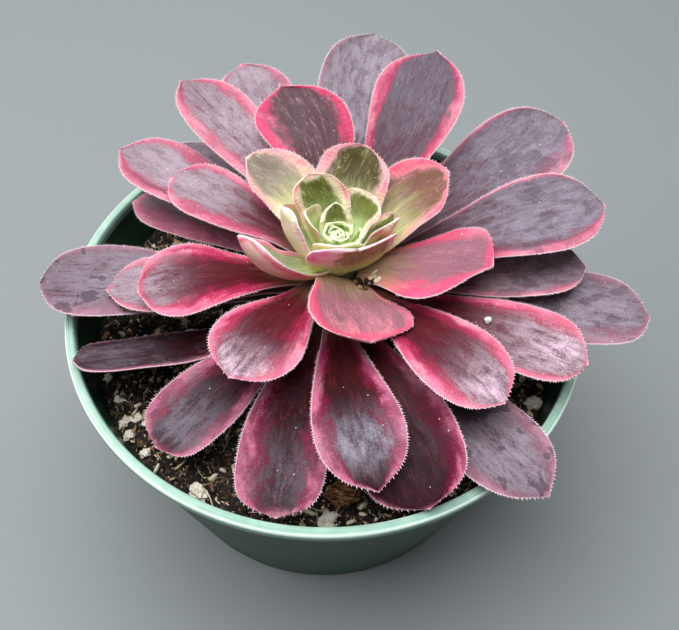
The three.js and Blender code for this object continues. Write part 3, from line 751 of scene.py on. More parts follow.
class LeafBlade:
    """The surface of one leaf: a bent and cupped blade with a lens-shaped section."""

    STATIONS = 90
    EDGE = 0.8
    ROUNDNESS = 12
    SHOULDERS = (0.5, 0.85)
    TIP_BEND = (0.55, 1.0)
    FOLD_AT = 0.7
    FOLD_SPAN = 0.3
    GROOVE_DEPTH = 0.6
    GROOVE_WIDTH = 0.2
    WAVE = 0.5
    RIPPLE = 0.15

    def __init__(self, form: LeafForm, look: LeafLook, outlines: tuple[Rows, Rows], thickness: float,
                 seed: float) -> None:
        """Works out the run of the leaf's midrib.

        Args:
            form: the leaf's shape.
            look: the leaf's own departures from it.
            outlines: two outlines, as (share of the length, share of the half width) rows. A sided leaf has
                one on each side. In another the look's bluntness leads from the first to the second.
            thickness: the greatest thickness.
            seed: a number that sets this leaf's small waves apart.
        """
        self.form = form
        self.look = look
        self.outlines = outlines
        self.thickness = thickness
        self.seed = seed
        self.spine: list[Vector] = []
        self.axes: list[tuple[Vector, Vector, Vector]] = []
        self._trace()

    def _trace(self) -> None:
        """Steps along the midrib, keeping the place and the axes at each station."""
        form = self.form
        here = Vector((0, 0, 0))
        before: Vector | None = None
        for station in range(self.STATIONS + 1):
            share = station / self.STATIONS
            pitch = math.radians(form.rise + form.bend * share)
            swing = math.radians(form.sweep * share)
            ahead = Vector((math.cos(pitch), 0, math.sin(pitch)))
            left = Vector((0, 1, 0))
            tangent = ahead * math.cos(swing) + left * math.sin(swing)
            side = left * math.cos(swing) - ahead * math.sin(swing)
            normal = tangent.cross(side)
            roll = Matrix.Rotation(math.radians(form.roll), 3, tangent)
            if before is not None:
                here = here + (before + tangent) * (form.length / self.STATIONS / 2)
            self.spine.append(here.copy())
            self.axes.append((tangent, roll @ side, roll @ normal))
            before = tangent

    def half_width(self, share: float, across: float = 0.0) -> float:
        """Half the blade's width at a share of its length, on the side that across names."""
        first, second = (smooth_along(rows, share) for rows in self.outlines)
        weight = float(across < 0) if self.look.sided else self.look.blunt
        part = max(0.0, first + (second - first) * weight)
        fuller = self.look.lopside / 2 * smoothstep(*self.SHOULDERS, share)
        return part ** (1 - math.copysign(fuller, across * fuller)) * self.form.width / 2

    def station(self, share: float) -> tuple[Vector, Vector, Vector, Vector]:
        """The midrib's place and its tangent, side and normal at a share of the length."""
        at = min(self.STATIONS - 1e-6, max(0.0, share * self.STATIONS))
        low = int(at)
        part = at - low
        spot = self.spine[low].lerp(self.spine[low + 1], part)
        axes = [one.lerp(two, part) for one, two in zip(self.axes[low], self.axes[low + 1])]
        return spot, axes[0], axes[1], axes[2]

    def relief(self, share: float, across: float, reach: float) -> float:
        """How far the blade's middle surface stands off the flat: its cup, folded margins and faint waves."""
        lift = self.form.cup * reach * across * across
        fold = self.look.fold(across) * smoothstep(0.5, 1.0, abs(across))
        lift += fold * bell(share, self.FOLD_AT, self.FOLD_SPAN)
        groove = smoothstep(0.05, 0.35, share) * smoothstep(1.0, 0.75, share)
        lift -= self.GROOVE_DEPTH * bell(across, 0.0, self.GROOVE_WIDTH) * groove
        wave = math.sin(share * 9.0 + self.seed * 5.1 + across * 1.7) * across * across
        ripple = math.sin(share * 21.0 + self.seed * 2.3) * math.sin(across * 4.0 + self.seed)
        return lift + (self.WAVE * wave + self.RIPPLE * ripple) * smoothstep(0.15, 0.5, share)

    def half_depth(self, share: float, across: float) -> float:
        """Half the blade's thickness, which falls to nothing at the rounded edge."""
        middle = self.thickness * along(THICKNESS_ALONG, share)
        edge = min(self.EDGE, middle)
        lens = (middle - edge) * (1 - across * across)
        return (lens + edge * math.sqrt(max(0.0, 1 - abs(across) ** self.ROUNDNESS))) / 2

    def point(self, share: float, across: float, face: int) -> Vector:
        """A place on the leaf's skin, in the part's frame.

        Args:
            share: how far along the leaf, from 0 at its seat to 1 at its tip.
            across: how far across, from -1 at the right margin to 1 at the left one.
            face: 1 on the upper face, -1 on the lower, 0 between them.

        Returns:
            The place in metres.
        """
        form = self.form
        spot, _, side, normal = self.station(share)
        reach = self.half_width(share, across)
        depth = face * self.half_depth(share, across)
        aside = across * reach + self.look.hook * smoothstep(*self.TIP_BEND, share) * form.width / 4
        local = spot + side * aside + normal * (self.relief(share, across, reach) + depth)
        return self.settle(local)

    def settle(self, local: Vector) -> Vector:
        """Carries a place from the leaf's own axes to the part's frame, in metres."""
        form = self.form
        reach = form.reach
        if reach == 0.0:
            base = along(THICKNESS_ALONG, 0.0) * self.thickness
            lean = base * math.sin(math.radians(form.rise)) / 2
            reach = along(CORE_RADIUS, form.seat) + SEAT_GAP + lean
        local = Matrix.Rotation(math.radians(form.skew), 3, "Z") @ local
        local = Matrix.Rotation(math.radians(form.turn), 3, "Z") @ (local + Vector((reach, 0, form.seat)))
        return (local + Vector((STEM_X, 0, 0))) * MM


def baked(name: str, mesh: bmesh.types.BMesh) -> bpy.types.Mesh:
    """Turns a bmesh, which is freed, into mesh data."""
    data = bpy.data.meshes.new(name)
    mesh.to_mesh(data)
    mesh.free()
    return data


def pour(part: bmesh.types.BMesh, heap: bmesh.types.BMesh) -> None:
    """Adds one mesh, which is freed, to another."""
    data = baked("part", part)
    heap.from_mesh(data)
    bpy.data.meshes.remove(data)


def placed(name: str, data: bpy.types.Mesh) -> bpy.types.Object:
    """A new object of the scene with this mesh."""
    item = bpy.data.objects.new(name, data)
    bpy.context.scene.collection.objects.link(item)
    return item


class Piece:
    """A finished mesh of the plant or its pot, handed over to the frame."""

    @staticmethod
    def publish(name: str, mesh: bmesh.types.BMesh, material: bpy.types.Material, slot: str,
                *nodes: str) -> None:
        """Makes an object of a mesh, smooth and facing out, that rides on the part.

        Args:
            name: the piece's name.
            mesh: its faces, which are freed.
            material: its finish.
            slot: a slot name for that finish; not used.
            nodes: the solids that it stands for.
        """
        bmesh.ops.recalc_face_normals(mesh, faces=mesh.faces)
        for face in mesh.faces:
            face.smooth = True
        data = baked(name, mesh)
        data.materials.append(material)
        item = placed(name, data)
        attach(item, BODY)
        if nodes:
            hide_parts(*nodes)
        LOG.info("%s: %d faces", name, len(data.polygons))


@dataclass
class Leaf:
    """One leaf with its skin and the fine hairs along its margin.

    The grid's rows crowd together at the tip. The bright margin narrows with the blade, down to margin_least
    of its width, and within taper the grain begins to run in to the tip.
    """

    blade: LeafBlade
    seed: int
    around: int = 48
    rows: int = 60
    crowding: float = 1.3
    margin_least: float = 0.12
    margin_power: float = 1.4
    taper: tuple[float, float] = (0.7, 0.82)
    hair_pitch: float = 0.62
    hair_length: float = 0.62
    hair_root: float = 0.16
    hair_sink: float = 0.12
    hair_start: float = 0.34
    hair_end: float = 0.985

    def skin(self) -> bmesh.types.BMesh:
        """Wraps a grid around the blade and writes the values that the skin's finish reads.

        Returns:
            The leaf's mesh.
        """
        mesh = bmesh.new()
        place, bands, finish, grain = (mesh.verts.layers.float_vector.new(name) for name in SKIN_VALUES)
        soft = mesh.verts.layers.float.new("soft")
        bmesh.ops.create_grid(mesh, x_segments=self.around, y_segments=self.rows, size=1.0)
        form, look, blade = self.blade.form, self.blade.look, self.blade
        half = form.width / 2
        for vert in mesh.verts:
            wrap = (vert.co.x + 1) / 2
            share = 1 - (1 - (vert.co.y + 1) / 2) ** self.crowding
            face = 1 if wrap <= 0.5 else -1
            turn = 4 * wrap - 1 if face > 0 else 3 - 4 * wrap
            across = math.sin(math.pi / 2 * turn)
            reach = blade.half_width(share, across)
            tip_gap = (1 - share) * form.length
            narrow = self.margin_least + (1 - self.margin_least) * (reach / half) ** self.margin_power
            left = (1 - across) * reach / (look.left * narrow)
            right = (1 + across) * reach / (look.right * narrow)
            edge = min((1 - abs(across)) * reach, tip_gap * 0.6)
            spread = half + (reach - half) * smoothstep(*self.taper, share)
            vert[place] = (across, share, face)
            vert[bands] = (min(left, right, tip_gap / look.tip), self.dusting_and_sheen(share, across), look.blush)
            vert[finish] = (edge, look.spots, self.crease_shade(share, across))
            vert[soft] = look.soft
            vert[grain] = (across * spread, share * form.length, self.seed * 7.3)
            vert.co = blade.point(share, across, face)
        bmesh.ops.remove_doubles(mesh, verts=mesh.verts, dist=2e-6)
        open_edges = [edge for edge in mesh.edges if edge.is_boundary]
        bmesh.ops.holes_fill(mesh, edges=open_edges, sides=0)
        return mesh

    def dusting_and_sheen(self, share: float, across: float) -> float:
        """The strength of the waxy bloom, with its painted sheen, at a place on the leaf."""
        look = self.blade.look
        return look.bloom_and_sheen * bell(share, look.bloom_and_sheen_at, look.span) * (1 - 0.35 * across * across)

    def crease_shade(self, share: float, across: float) -> float:
        """How deep in its crease a place beside a folded margin lies, which sets the painted shade there."""
        fold = min(1.0, self.blade.look.fold(across))
        return fold * bell(abs(across), 0.66, 0.07) * bell(share, 0.66, 0.22)

    def hairs(self) -> bmesh.types.BMesh:
        """Sets a row of short hairs along both margins, each with its root in the edge.

        Returns:
            The hairs' mesh.
        """
        mesh = bmesh.new()
        draw = Random(self.seed)
        blade, form = self.blade, self.blade.form
        for across in (-1.0, 1.0):
            share = self.hair_start
            while share < self.hair_end:
                share += self.hair_pitch * draw.uniform(0.7, 1.3) / form.length
                at = min(share, 0.995)
                here = blade.point(at, across, 0)
                ahead = (blade.point(min(share + 0.01, 1.0), across, 0) - here).normalized()
                inside = (blade.point(at, across * 0.9, 0) - here).normalized()
                out = (-inside - ahead * ahead.dot(-inside)).normalized()
                lean = out + ahead * draw.uniform(0.1, 0.6) + Vector((0, 0, draw.uniform(-0.25, 0.35)))
                length = self.hair_length * draw.uniform(0.6, 1.25) * MM
                root = here + inside * self.hair_sink * MM
                pose = Vector((0, 0, 1)).rotation_difference(lean.normalized()).to_matrix().to_4x4()
                pose.translation = root + lean.normalized() * length / 2
                bmesh.ops.create_cone(mesh, cap_ends=True, segments=4, radius1=self.hair_root * MM,
                                      radius2=self.hair_root * 0.3 * MM, depth=length, matrix=pose)
        return mesh


@dataclass
class Rosette:
    """The leaves around the stem."""

    leaf_thickness: float = 3.0
    young_thickness: float = 2.0

    def blade(self, index: int) -> LeafBlade:
        """The surface of the leaf with this number."""
        form = LEAF_FORMS[index]
        outlines = OWN_OUTLINES.get(form.name, (BLADE_OUTLINE, BLUNT_OUTLINE))
        thickness = self.young_thickness if form.name in THIN_LEAVES else self.leaf_thickness
        return LeafBlade(form, LEAF_LOOKS[index], outlines, thickness, index)

    def build(self, skins: dict[Age, bpy.types.Material], hair: bpy.types.Material) -> None:
        """Makes every leaf and its fringe of hairs.

        Args:
            skins: the leaf finish of each age.
            hair: the finish of the hairs.
        """
        fringe = bmesh.new()
        for index, (form, look) in enumerate(zip(LEAF_FORMS, LEAF_LOOKS)):
            leaf = Leaf(self.blade(index), index)
            Piece.publish(f"{form.name}_skin", leaf.skin(), skins[look.age], "leaf", form.name)
            pour(leaf.hairs(), fringe)
        Piece.publish("leaf_hairs", fringe, hair, "leaf")


@dataclass
class Heart:
    """The growing tip: the young leaves and the tight bud that they hold."""

    leaf_thickness: float = 1.7
    leaf_seed: int = 40
    bud_leaves: int = 9
    bud_seed: int = 60
    bud_thickness: float = 1.0
    bud_heading: float = 200.0
    bud_turn: float = 137.5
    bud_seat: tuple[float, float] = (107.5, 109.0)
    bud_rise: tuple[float, float] = (62.0, 80.0)
    bud_bend: float = 16.0
    bud_length: tuple[float, float] = (5.6, 3.2)
    bud_width: tuple[float, float] = (5.4, 2.6)
    bud_cup: float = 0.5
    bud_reach: tuple[float, float] = (1.9, 0.3)
    core_profile: Rows = ((5.6, 100.0), (6.2, 101.0), (6.2, 104.5), (4.8, 108.0), (2.6, 110.0), (1.0, 110.8))

    def build(self, skins: dict[Age, bpy.types.Material]) -> None:
        """Makes the core, the named young leaves and the bud's leaves.

        Args:
            skins: the leaf finish of each age.
        """
        self._core(skins[Age.BUD])
        for index, (form, outline, look) in enumerate(HEART_LEAVES, self.leaf_seed):
            blade = LeafBlade(form, look, (outline, outline), self.leaf_thickness, index)
            leaf = Leaf(blade, index, around=40, rows=40)
            Piece.publish(f"heart_leaf_{form.name}", leaf.skin(), skins[look.age], "heart", "heart")
        for index in range(self.bud_leaves):
            seed = self.bud_seed + index
            blade = LeafBlade(self._bud_form(index), BUD_LOOK, (SPOON, SPOON), self.bud_thickness, seed)
            leaf = Leaf(blade, seed, around=28, rows=26)
            Piece.publish(f"heart_bud_{index + 1}", leaf.skin(), skins[Age.BUD], "heart", "heart")

    def _bud_form(self, index: int) -> LeafForm:
        """The shape of one of the bud's leaves, which shrink as the spiral winds inwards."""
        share = index / (self.bud_leaves - 1)
        ends = (self.bud_seat, self.bud_rise, self.bud_length, self.bud_width, self.bud_reach)
        seat, rise, length, width, reach = (outer + (inner - outer) * share for outer, inner in ends)
        turn = self.bud_turn * index + self.bud_heading
        return LeafForm(f"bud_{index}", turn, seat, rise, self.bud_bend, length, width, 0, self.bud_cup, 0,
                        reach, 0)

    def _core(self, material: bpy.types.Material) -> None:
        """Turns the core's profile about the stem's axis."""
        mesh = spun(self.core_profile, 32, closed=True)
        for name in SKIN_VALUES:
            mesh.verts.layers.float_vector.new(name)
        bmesh.ops.translate(mesh, verts=mesh.verts, vec=(STEM_X * MM, 0, 0))
        Piece.publish("heart_core", mesh, material, "heart", "heart")


def spun(profile: Rows, steps: int, closed: bool = False) -> bmesh.types.BMesh:
    """Turns a profile of (radius, height) rows about the Z axis.

    Args:
        profile: the rows, from one end to the other.
        steps: how many steps the turn has.
        closed: whether both ends run in to the axis.

    Returns:
        The closed mesh, in metres.
    """
    mesh = bmesh.new()
    rows = list(profile)
    if closed:
        rows = [(0.0, rows[0][1]), *rows, (0.0, rows[-1][1])]
    line = [mesh.verts.new((radius * MM, 0, height * MM)) for radius, height in rows]
    edges = [mesh.edges.new(pair) for pair in zip(line, line[1:])]
    bmesh.ops.spin(mesh, geom=line + edges, cent=(0, 0, 0), axis=(0, 0, 1), dvec=(0, 0, 0), angle=math.tau,
                   steps=steps, use_merge=True, use_normal_flip=False, use_duplicate=False)
    bmesh.ops.remove_doubles(mesh, verts=mesh.verts, dist=1e-6)
    return mesh


def heaped(count: int, add: Callable[[bmesh.types.BMesh], float], batch: int = 120) -> bmesh.types.BMesh:
    """Gathers many small lumps in one mesh, a batch at a time, since a long mesh takes each new one slowly.

    Args:
        count: how many lumps.
        add: makes one lump in the mesh that it is given, and gives its tone.
        batch: how many lumps a batch has.

    Returns:
        The mesh, whose tone attribute tells the lumps apart.
    """
    heap = bmesh.new()
    heap.verts.layers.float.new("tone")
    for start in range(0, count, batch):
        part = bmesh.new()
        tone = part.verts.layers.float.new("tone")
        for _ in range(min(batch, count - start)):
            first = len(part.verts)
            shade = add(part)
            part.verts.ensure_lookup_table()
            for vert in part.verts[first:]:
                vert[tone] = shade
        pour(part, heap)
    return heap


def cut(body: bmesh.types.BMesh, tool: bmesh.types.BMesh) -> bmesh.types.BMesh:
    """Takes one closed mesh out of another.

    Args:
        body: the mesh that is cut, which is freed.
        tool: what is taken out of it, which is freed.

    Returns:
        What is left of the body.
    """
    items = []
    for name, mesh in (("body", body), ("tool", tool)):
        bmesh.ops.recalc_face_normals(mesh, faces=mesh.faces)
        items.append(placed(name, baked(name, mesh)))
    trim = items[0].modifiers.new("trim", "BOOLEAN")
    trim.operation = "DIFFERENCE"
    trim.object = items[1]
    graph = bpy.context.evaluated_depsgraph_get()
    left = bmesh.new()
    left.from_object(items[0], graph)
    for item in items:
        data = item.data
        bpy.data.objects.remove(item)
        bpy.data.meshes.remove(data)
    return left


@dataclass
class NurseryPot:
    """The plastic pot: a thin tapered wall under a flat lip, with a flat, drained floor.

    foot_rows are (distance in from the base's edge, height) rows around the foot, and lip_rows (distance in
    from the rim, distance down from the top) rows over the lip. The wall's rows are row_gap apart.
    """

    rim: float = 80.0
    height: float = 87.0
    base: float = 61.5
    wall: float = 1.5
    floor: float = 2.5
    lip_depth: float = 3.4
    shoulder: float = 1.3
    foot_rows: Rows = ((1.6, 0.0), (0.7, 0.15), (0.1, 0.7))
    lip_rows: Rows = (
        (0.25, 3.05), (0.0, 2.5), (0.0, 0.9), (0.1, 0.4), (0.4, 0.08), (0.6, 0.0), (0.8, 0.0), (2.2, 0.0),
        (2.4, 0.0), (2.75, 0.15), (3.0, 0.7), (3.3, 2.2),
    )
    foot_top: float = 1.6
    row_gap: int = 6
    corner: float = 1.5
    drains: int = 8
    drain_radius: float = 4.2
    drain_circle: float = 49.0
    steps: int = 160

    def wall_radius(self, height: float) -> float:
        """The outer radius of the wall at a height."""
        return self.base + (self.rim - self.shoulder - self.base) * height / (self.height - self.lip_depth)

    def profile(self) -> list[tuple[float, float]]:
        """The section of the pot, from its underside round the lip to its floor.

        Returns:
            The (radius, height) rows.
        """
        shoulder = self.height - self.lip_depth
        outside = (self.foot_top, *range(self.row_gap, int(shoulder), self.row_gap), shoulder - 0.3)
        inside = (shoulder - 1, *reversed(range(self.row_gap, int(shoulder) - 1, self.row_gap)), 4.0)
        rows = [(self.base - inset, height) for inset, height in self.foot_rows]
        rows += [(self.wall_radius(height), height) for height in outside]
        rows += [(self.wall_radius(shoulder) + 0.15, shoulder)]
        rows += [(self.rim - inset, self.height - drop) for inset, drop in self.lip_rows]
        rows += [(self.wall_radius(height) - self.wall, height) for height in inside]
        rows += [(self.wall_radius(self.floor) - self.wall - self.corner, self.floor)]
        return rows

    def build(self, material: bpy.types.Material) -> None:
        """Makes the pot.

        Args:
            material: the plastic.
        """
        mesh = spun(self.profile(), self.steps, closed=True)
        Piece.publish("nursery_pot", cut(mesh, self.drills()), material, "pot", "pot")

    def drills(self) -> bmesh.types.BMesh:
        """The plugs that the drain holes are cut with."""
        mesh = bmesh.new()
        for drain in range(self.drains):
            turn = math.tau * (drain + 0.5) / self.drains
            place = Matrix.Translation(Vector((math.cos(turn), math.sin(turn), 0)) * self.drain_circle * MM)
            bmesh.ops.create_cone(mesh, cap_ends=True, segments=40, radius1=self.drain_radius * MM,
                                  radius2=self.drain_radius * MM, depth=4 * self.floor * MM, matrix=place)
        return mesh


@dataclass
class PottingMix:
    """The soil: a crumbly surface with chips of bark, coir fibres and bits of perlite.

    waves are the surface's (waves a millimetre, height) rows.
    """

    radius: float = 74.2
    foot_radius: float = 58.0
    foot: float = 2.8
    rings: int = 84
    steps: int = 220
    chips: int = 5000
    chip_seed: int = 11
    chip_sizes: tuple[float, float] = (0.6, 4.2)
    chip_form: tuple[float, float, float] = (1.0, 0.45, 0.5)
    fibres: int = 2600
    fibre_seed: int = 13
    bits: int = 420
    bit_seed: int = 12
    bit_sizes: tuple[float, float] = (0.3, 1.5)
    bit_form: tuple[float, float, float] = (0.9, 0.85, 0.8)
    size_power: float = 2.2
    jitter: float = 0.16
    waves: Rows = ((0.28, 1.1), (0.62, 0.66), (1.9, 0.45))

    def crumb(self, x: float, y: float) -> float:
        """The fine relief of the soil at a place."""
        spot = Vector((x, y, 0))
        return sum(height * noise.noise(spot * pitch) for pitch, height in self.waves)

    def ground(self, x: float, y: float) -> float:
        """The height of the finished surface at a place."""
        fade = smoothstep(self.radius, self.radius - 3, math.hypot(x, y))
        return soil_height(x, y) + self.crumb(x, y) * (0.3 + 0.7 * fade)

    def build(self, earth: bpy.types.Material, chips: bpy.types.Material, bits: bpy.types.Material) -> None:
        """Makes the surface and everything strewn on it.

        Args:
            earth: the finish of the surface.
            chips: the finish of bark chips and fibres.
            bits: the finish of perlite.
        """
        rows = [(0.0, self.foot), (self.foot_radius, self.foot), (self.radius - 0.5, SOIL_TOP - 4)]
        rows += [(self.radius * (1 - ring / self.rings), SOIL_TOP) for ring in range(self.rings)]
        rows += [(0.0, SOIL_TOP)]
        mesh = spun(rows, self.steps)
        for vert in mesh.verts:
            if abs(vert.co.z / MM - SOIL_TOP) < 0.01:
                vert.co.z = self.ground(vert.co.x / MM, vert.co.y / MM) * MM
        Piece.publish("soil_bed", mesh, earth, "soil", "soil")
        bark = self._strew(self.chips, self.chip_seed, self.chip_sizes, self.chip_form)
        Piece.publish("soil_chips", bark, chips, "soil")
        Piece.publish("soil_fibres", self._fibres(), chips, "soil")
        white = self._strew(self.bits, self.bit_seed, self.bit_sizes, self.bit_form)
        Piece.publish("soil_perlite", white, bits, "perlite")

    def _spot(self, draw: Random) -> tuple[float, float]:
        """A place drawn evenly over the soil, clear of the stem."""
        while True:
            reach = math.sqrt(draw.random()) * (self.radius - 1.5)
            turn = draw.uniform(0, math.tau)
            x, y = reach * math.cos(turn), reach * math.sin(turn)
            if math.hypot(x - STEM_X, y) > STEM_RADIUS + 2:
                return x, y

    def _strew(self, count: int, seed: int, sizes: tuple[float, float],
               form: tuple[float, float, float]) -> bmesh.types.BMesh:
        """Scatters small lumps over the soil.

        Args:
            count: how many.
            seed: the seed of the draw.
            sizes: the least and greatest size.
            form: the lumps' length, width and height as shares of their size.

        Returns:
            The lumps' mesh, whose tone attribute tells them apart.
        """
        draw = Random(seed)

        def add(mesh: bmesh.types.BMesh) -> float:
            """Makes one lump."""
            x, y = self._spot(draw)
            size = sizes[0] + (sizes[1] - sizes[0]) * draw.random() ** self.size_power
            turn = Matrix.Rotation(draw.uniform(0, math.tau), 4, "Z")
            tilt = Matrix.Rotation(draw.uniform(-0.6, 0.6), 4, "X")
            tilt = tilt @ Matrix.Rotation(draw.uniform(-0.5, 0.5), 4, "Y")
            length, width = form[0] * draw.uniform(0.8, 1.5), form[1] * draw.uniform(0.5, 1.2)
            centre = Matrix.Translation(Vector((x, y, self.ground(x, y) + size * form[2] * 0.3)) * MM)
            pose = centre @ turn @ tilt @ Matrix.Diagonal((length, width, form[2], 1))
            made = bmesh.ops.create_icosphere(mesh, subdivisions=1, radius=size * MM / 2, matrix=pose)
            shade = draw.random()
            for vert in made["verts"]:
                shift = noise.noise_vector(vert.co * 900 + Vector((shade * 50, 0, 0)))
                vert.co += shift * size * self.jitter * MM
            return shade

        return heaped(count, add)

    def _fibres(self) -> bmesh.types.BMesh:
        """Lays thin curved fibres on the soil.

        Returns:
            The fibres' mesh, whose tone attribute tells them apart.
        """
        draw = Random(self.fibre_seed)
        strand = self._strand()

        def add(mesh: bmesh.types.BMesh) -> float:
            """Lays one fibre."""
            x, y = self._spot(draw)
            length, thick = 1.0 + 6.0 * draw.random() ** 4, draw.uniform(0.08, 0.24)
            turn, bend, arch = draw.uniform(0, math.tau), draw.uniform(-0.6, 0.6), draw.uniform(0.05, 0.9)
            shade = draw.uniform(0.25, 1.1)
            first = len(mesh.verts)
            mesh.from_mesh(strand)
            mesh.verts.ensure_lookup_table()
            for vert in mesh.verts[first:]:
                share = vert.co.z
                way = turn + bend * (share - 0.5)
                spot_x = x + (share - 0.5) * length * math.cos(way)
                spot_y = y + (share - 0.5) * length * math.sin(way)
                hold = min(1.0, (self.radius - 1.0) / max(1.0, math.hypot(spot_x, spot_y)))
                spot_x, spot_y = spot_x * hold, spot_y * hold
                rest = max(self.ground(spot_x, spot_y), self.ground(x, y) - 0.6) + 0.1
                height = rest + arch * math.sin(math.pi * share) + vert.co.y * thick
                side = Vector((-math.sin(way), math.cos(way), 0)) * vert.co.x * thick
                vert.co = (Vector((spot_x, spot_y, height)) + side) * MM
            return shade

        mesh = heaped(self.fibres, add)
        bpy.data.meshes.remove(strand)
        return mesh

    @staticmethod
    def _strand() -> bpy.types.Mesh:
        """One straight fibre of height and thickness 1, with rings to bend it at."""
        mesh = bmesh.new()
        stand = Matrix.Translation((0, 0, 0.5))
        bmesh.ops.create_cone(mesh, cap_ends=True, segments=4, radius1=1.0, radius2=0.5, depth=1.0,
                              matrix=stand)
        sides = [edge for edge in mesh.edges if abs(edge.verts[0].co.z - edge.verts[1].co.z) > 0.5]
        bmesh.ops.subdivide_edges(mesh, edges=sides, cuts=5, use_grid_fill=True)
        return baked("strand", mesh)


@dataclass(frozen=True)
class Grain:
    """A perlite grain or a chip of bark, where the solids have it. LUMPS are (pitch, height) rows."""

    LIFT = 0.14
    FULLNESS = 1.05
    LUMPS = ((1.4, 0.5), (3.6, 0.22))
    PIT_PITCH = 9.0
    PIT_DEPTH = 0.1
    SHAPE = (1.05, 0.82, 0.7)

    node: str
    x: float
    y: float
    size: float
    turn: float

    def build(self, material: bpy.types.Material, slot: str) -> None:
        """Makes the grain as a pitted lump.

        Args:
            material: its finish.
            slot: its slot name, handed on to the piece.
        """
        mesh = bmesh.new()
        tone = mesh.verts.layers.float.new("tone")
        centre = Vector((self.x, self.y, soil_height(self.x, self.y) + self.LIFT * self.size))
        bmesh.ops.create_icosphere(mesh, subdivisions=5, radius=0.5)
        spin = Matrix.Rotation(math.radians(self.turn), 3, "Z")
        for vert in mesh.verts:
            spot = vert.co.normalized()
            waves = (height * noise.noise(spot * pitch + centre) for pitch, height in self.LUMPS)
            reach = self.FULLNESS + sum(waves)
            reach -= self.PIT_DEPTH * abs(noise.noise(spot * self.PIT_PITCH + centre))
            shape = spot * Vector(self.SHAPE) * reach * self.size / 2
            vert.co = (spin @ shape + centre) * MM
            vert[tone] = 0.5
        Piece.publish(f"{self.node}_lump", mesh, material, slot, self.node)


PERLITE = (
    Grain("perlite_1", 65.2, -29, 5.2, 20),
    Grain("perlite_2", 3.4, -69.6, 6, 70),
    Grain("perlite_3", -33.5, -62.4, 5.4, 130),
    Grain("perlite_4", -58.6, -39.9, 3.6, 10),
    Grain("perlite_5", -57, -43.9, 3.4, 50),
    Grain("perlite_6", -55.2, -38.4, 2.8, 95),
    Grain("perlite_7", -52.3, -40.7, 2.6, 160),
    Grain("perlite_8", -50.6, -50.2, 3, 35),
    Grain("perlite_9", -67.2, -24.8, 3.2, 80),
    Grain("perlite_10", -62, -33.4, 3, 115),
)
BARK = Grain("bark_1", 7.9, -60.5, 8.5, 20)


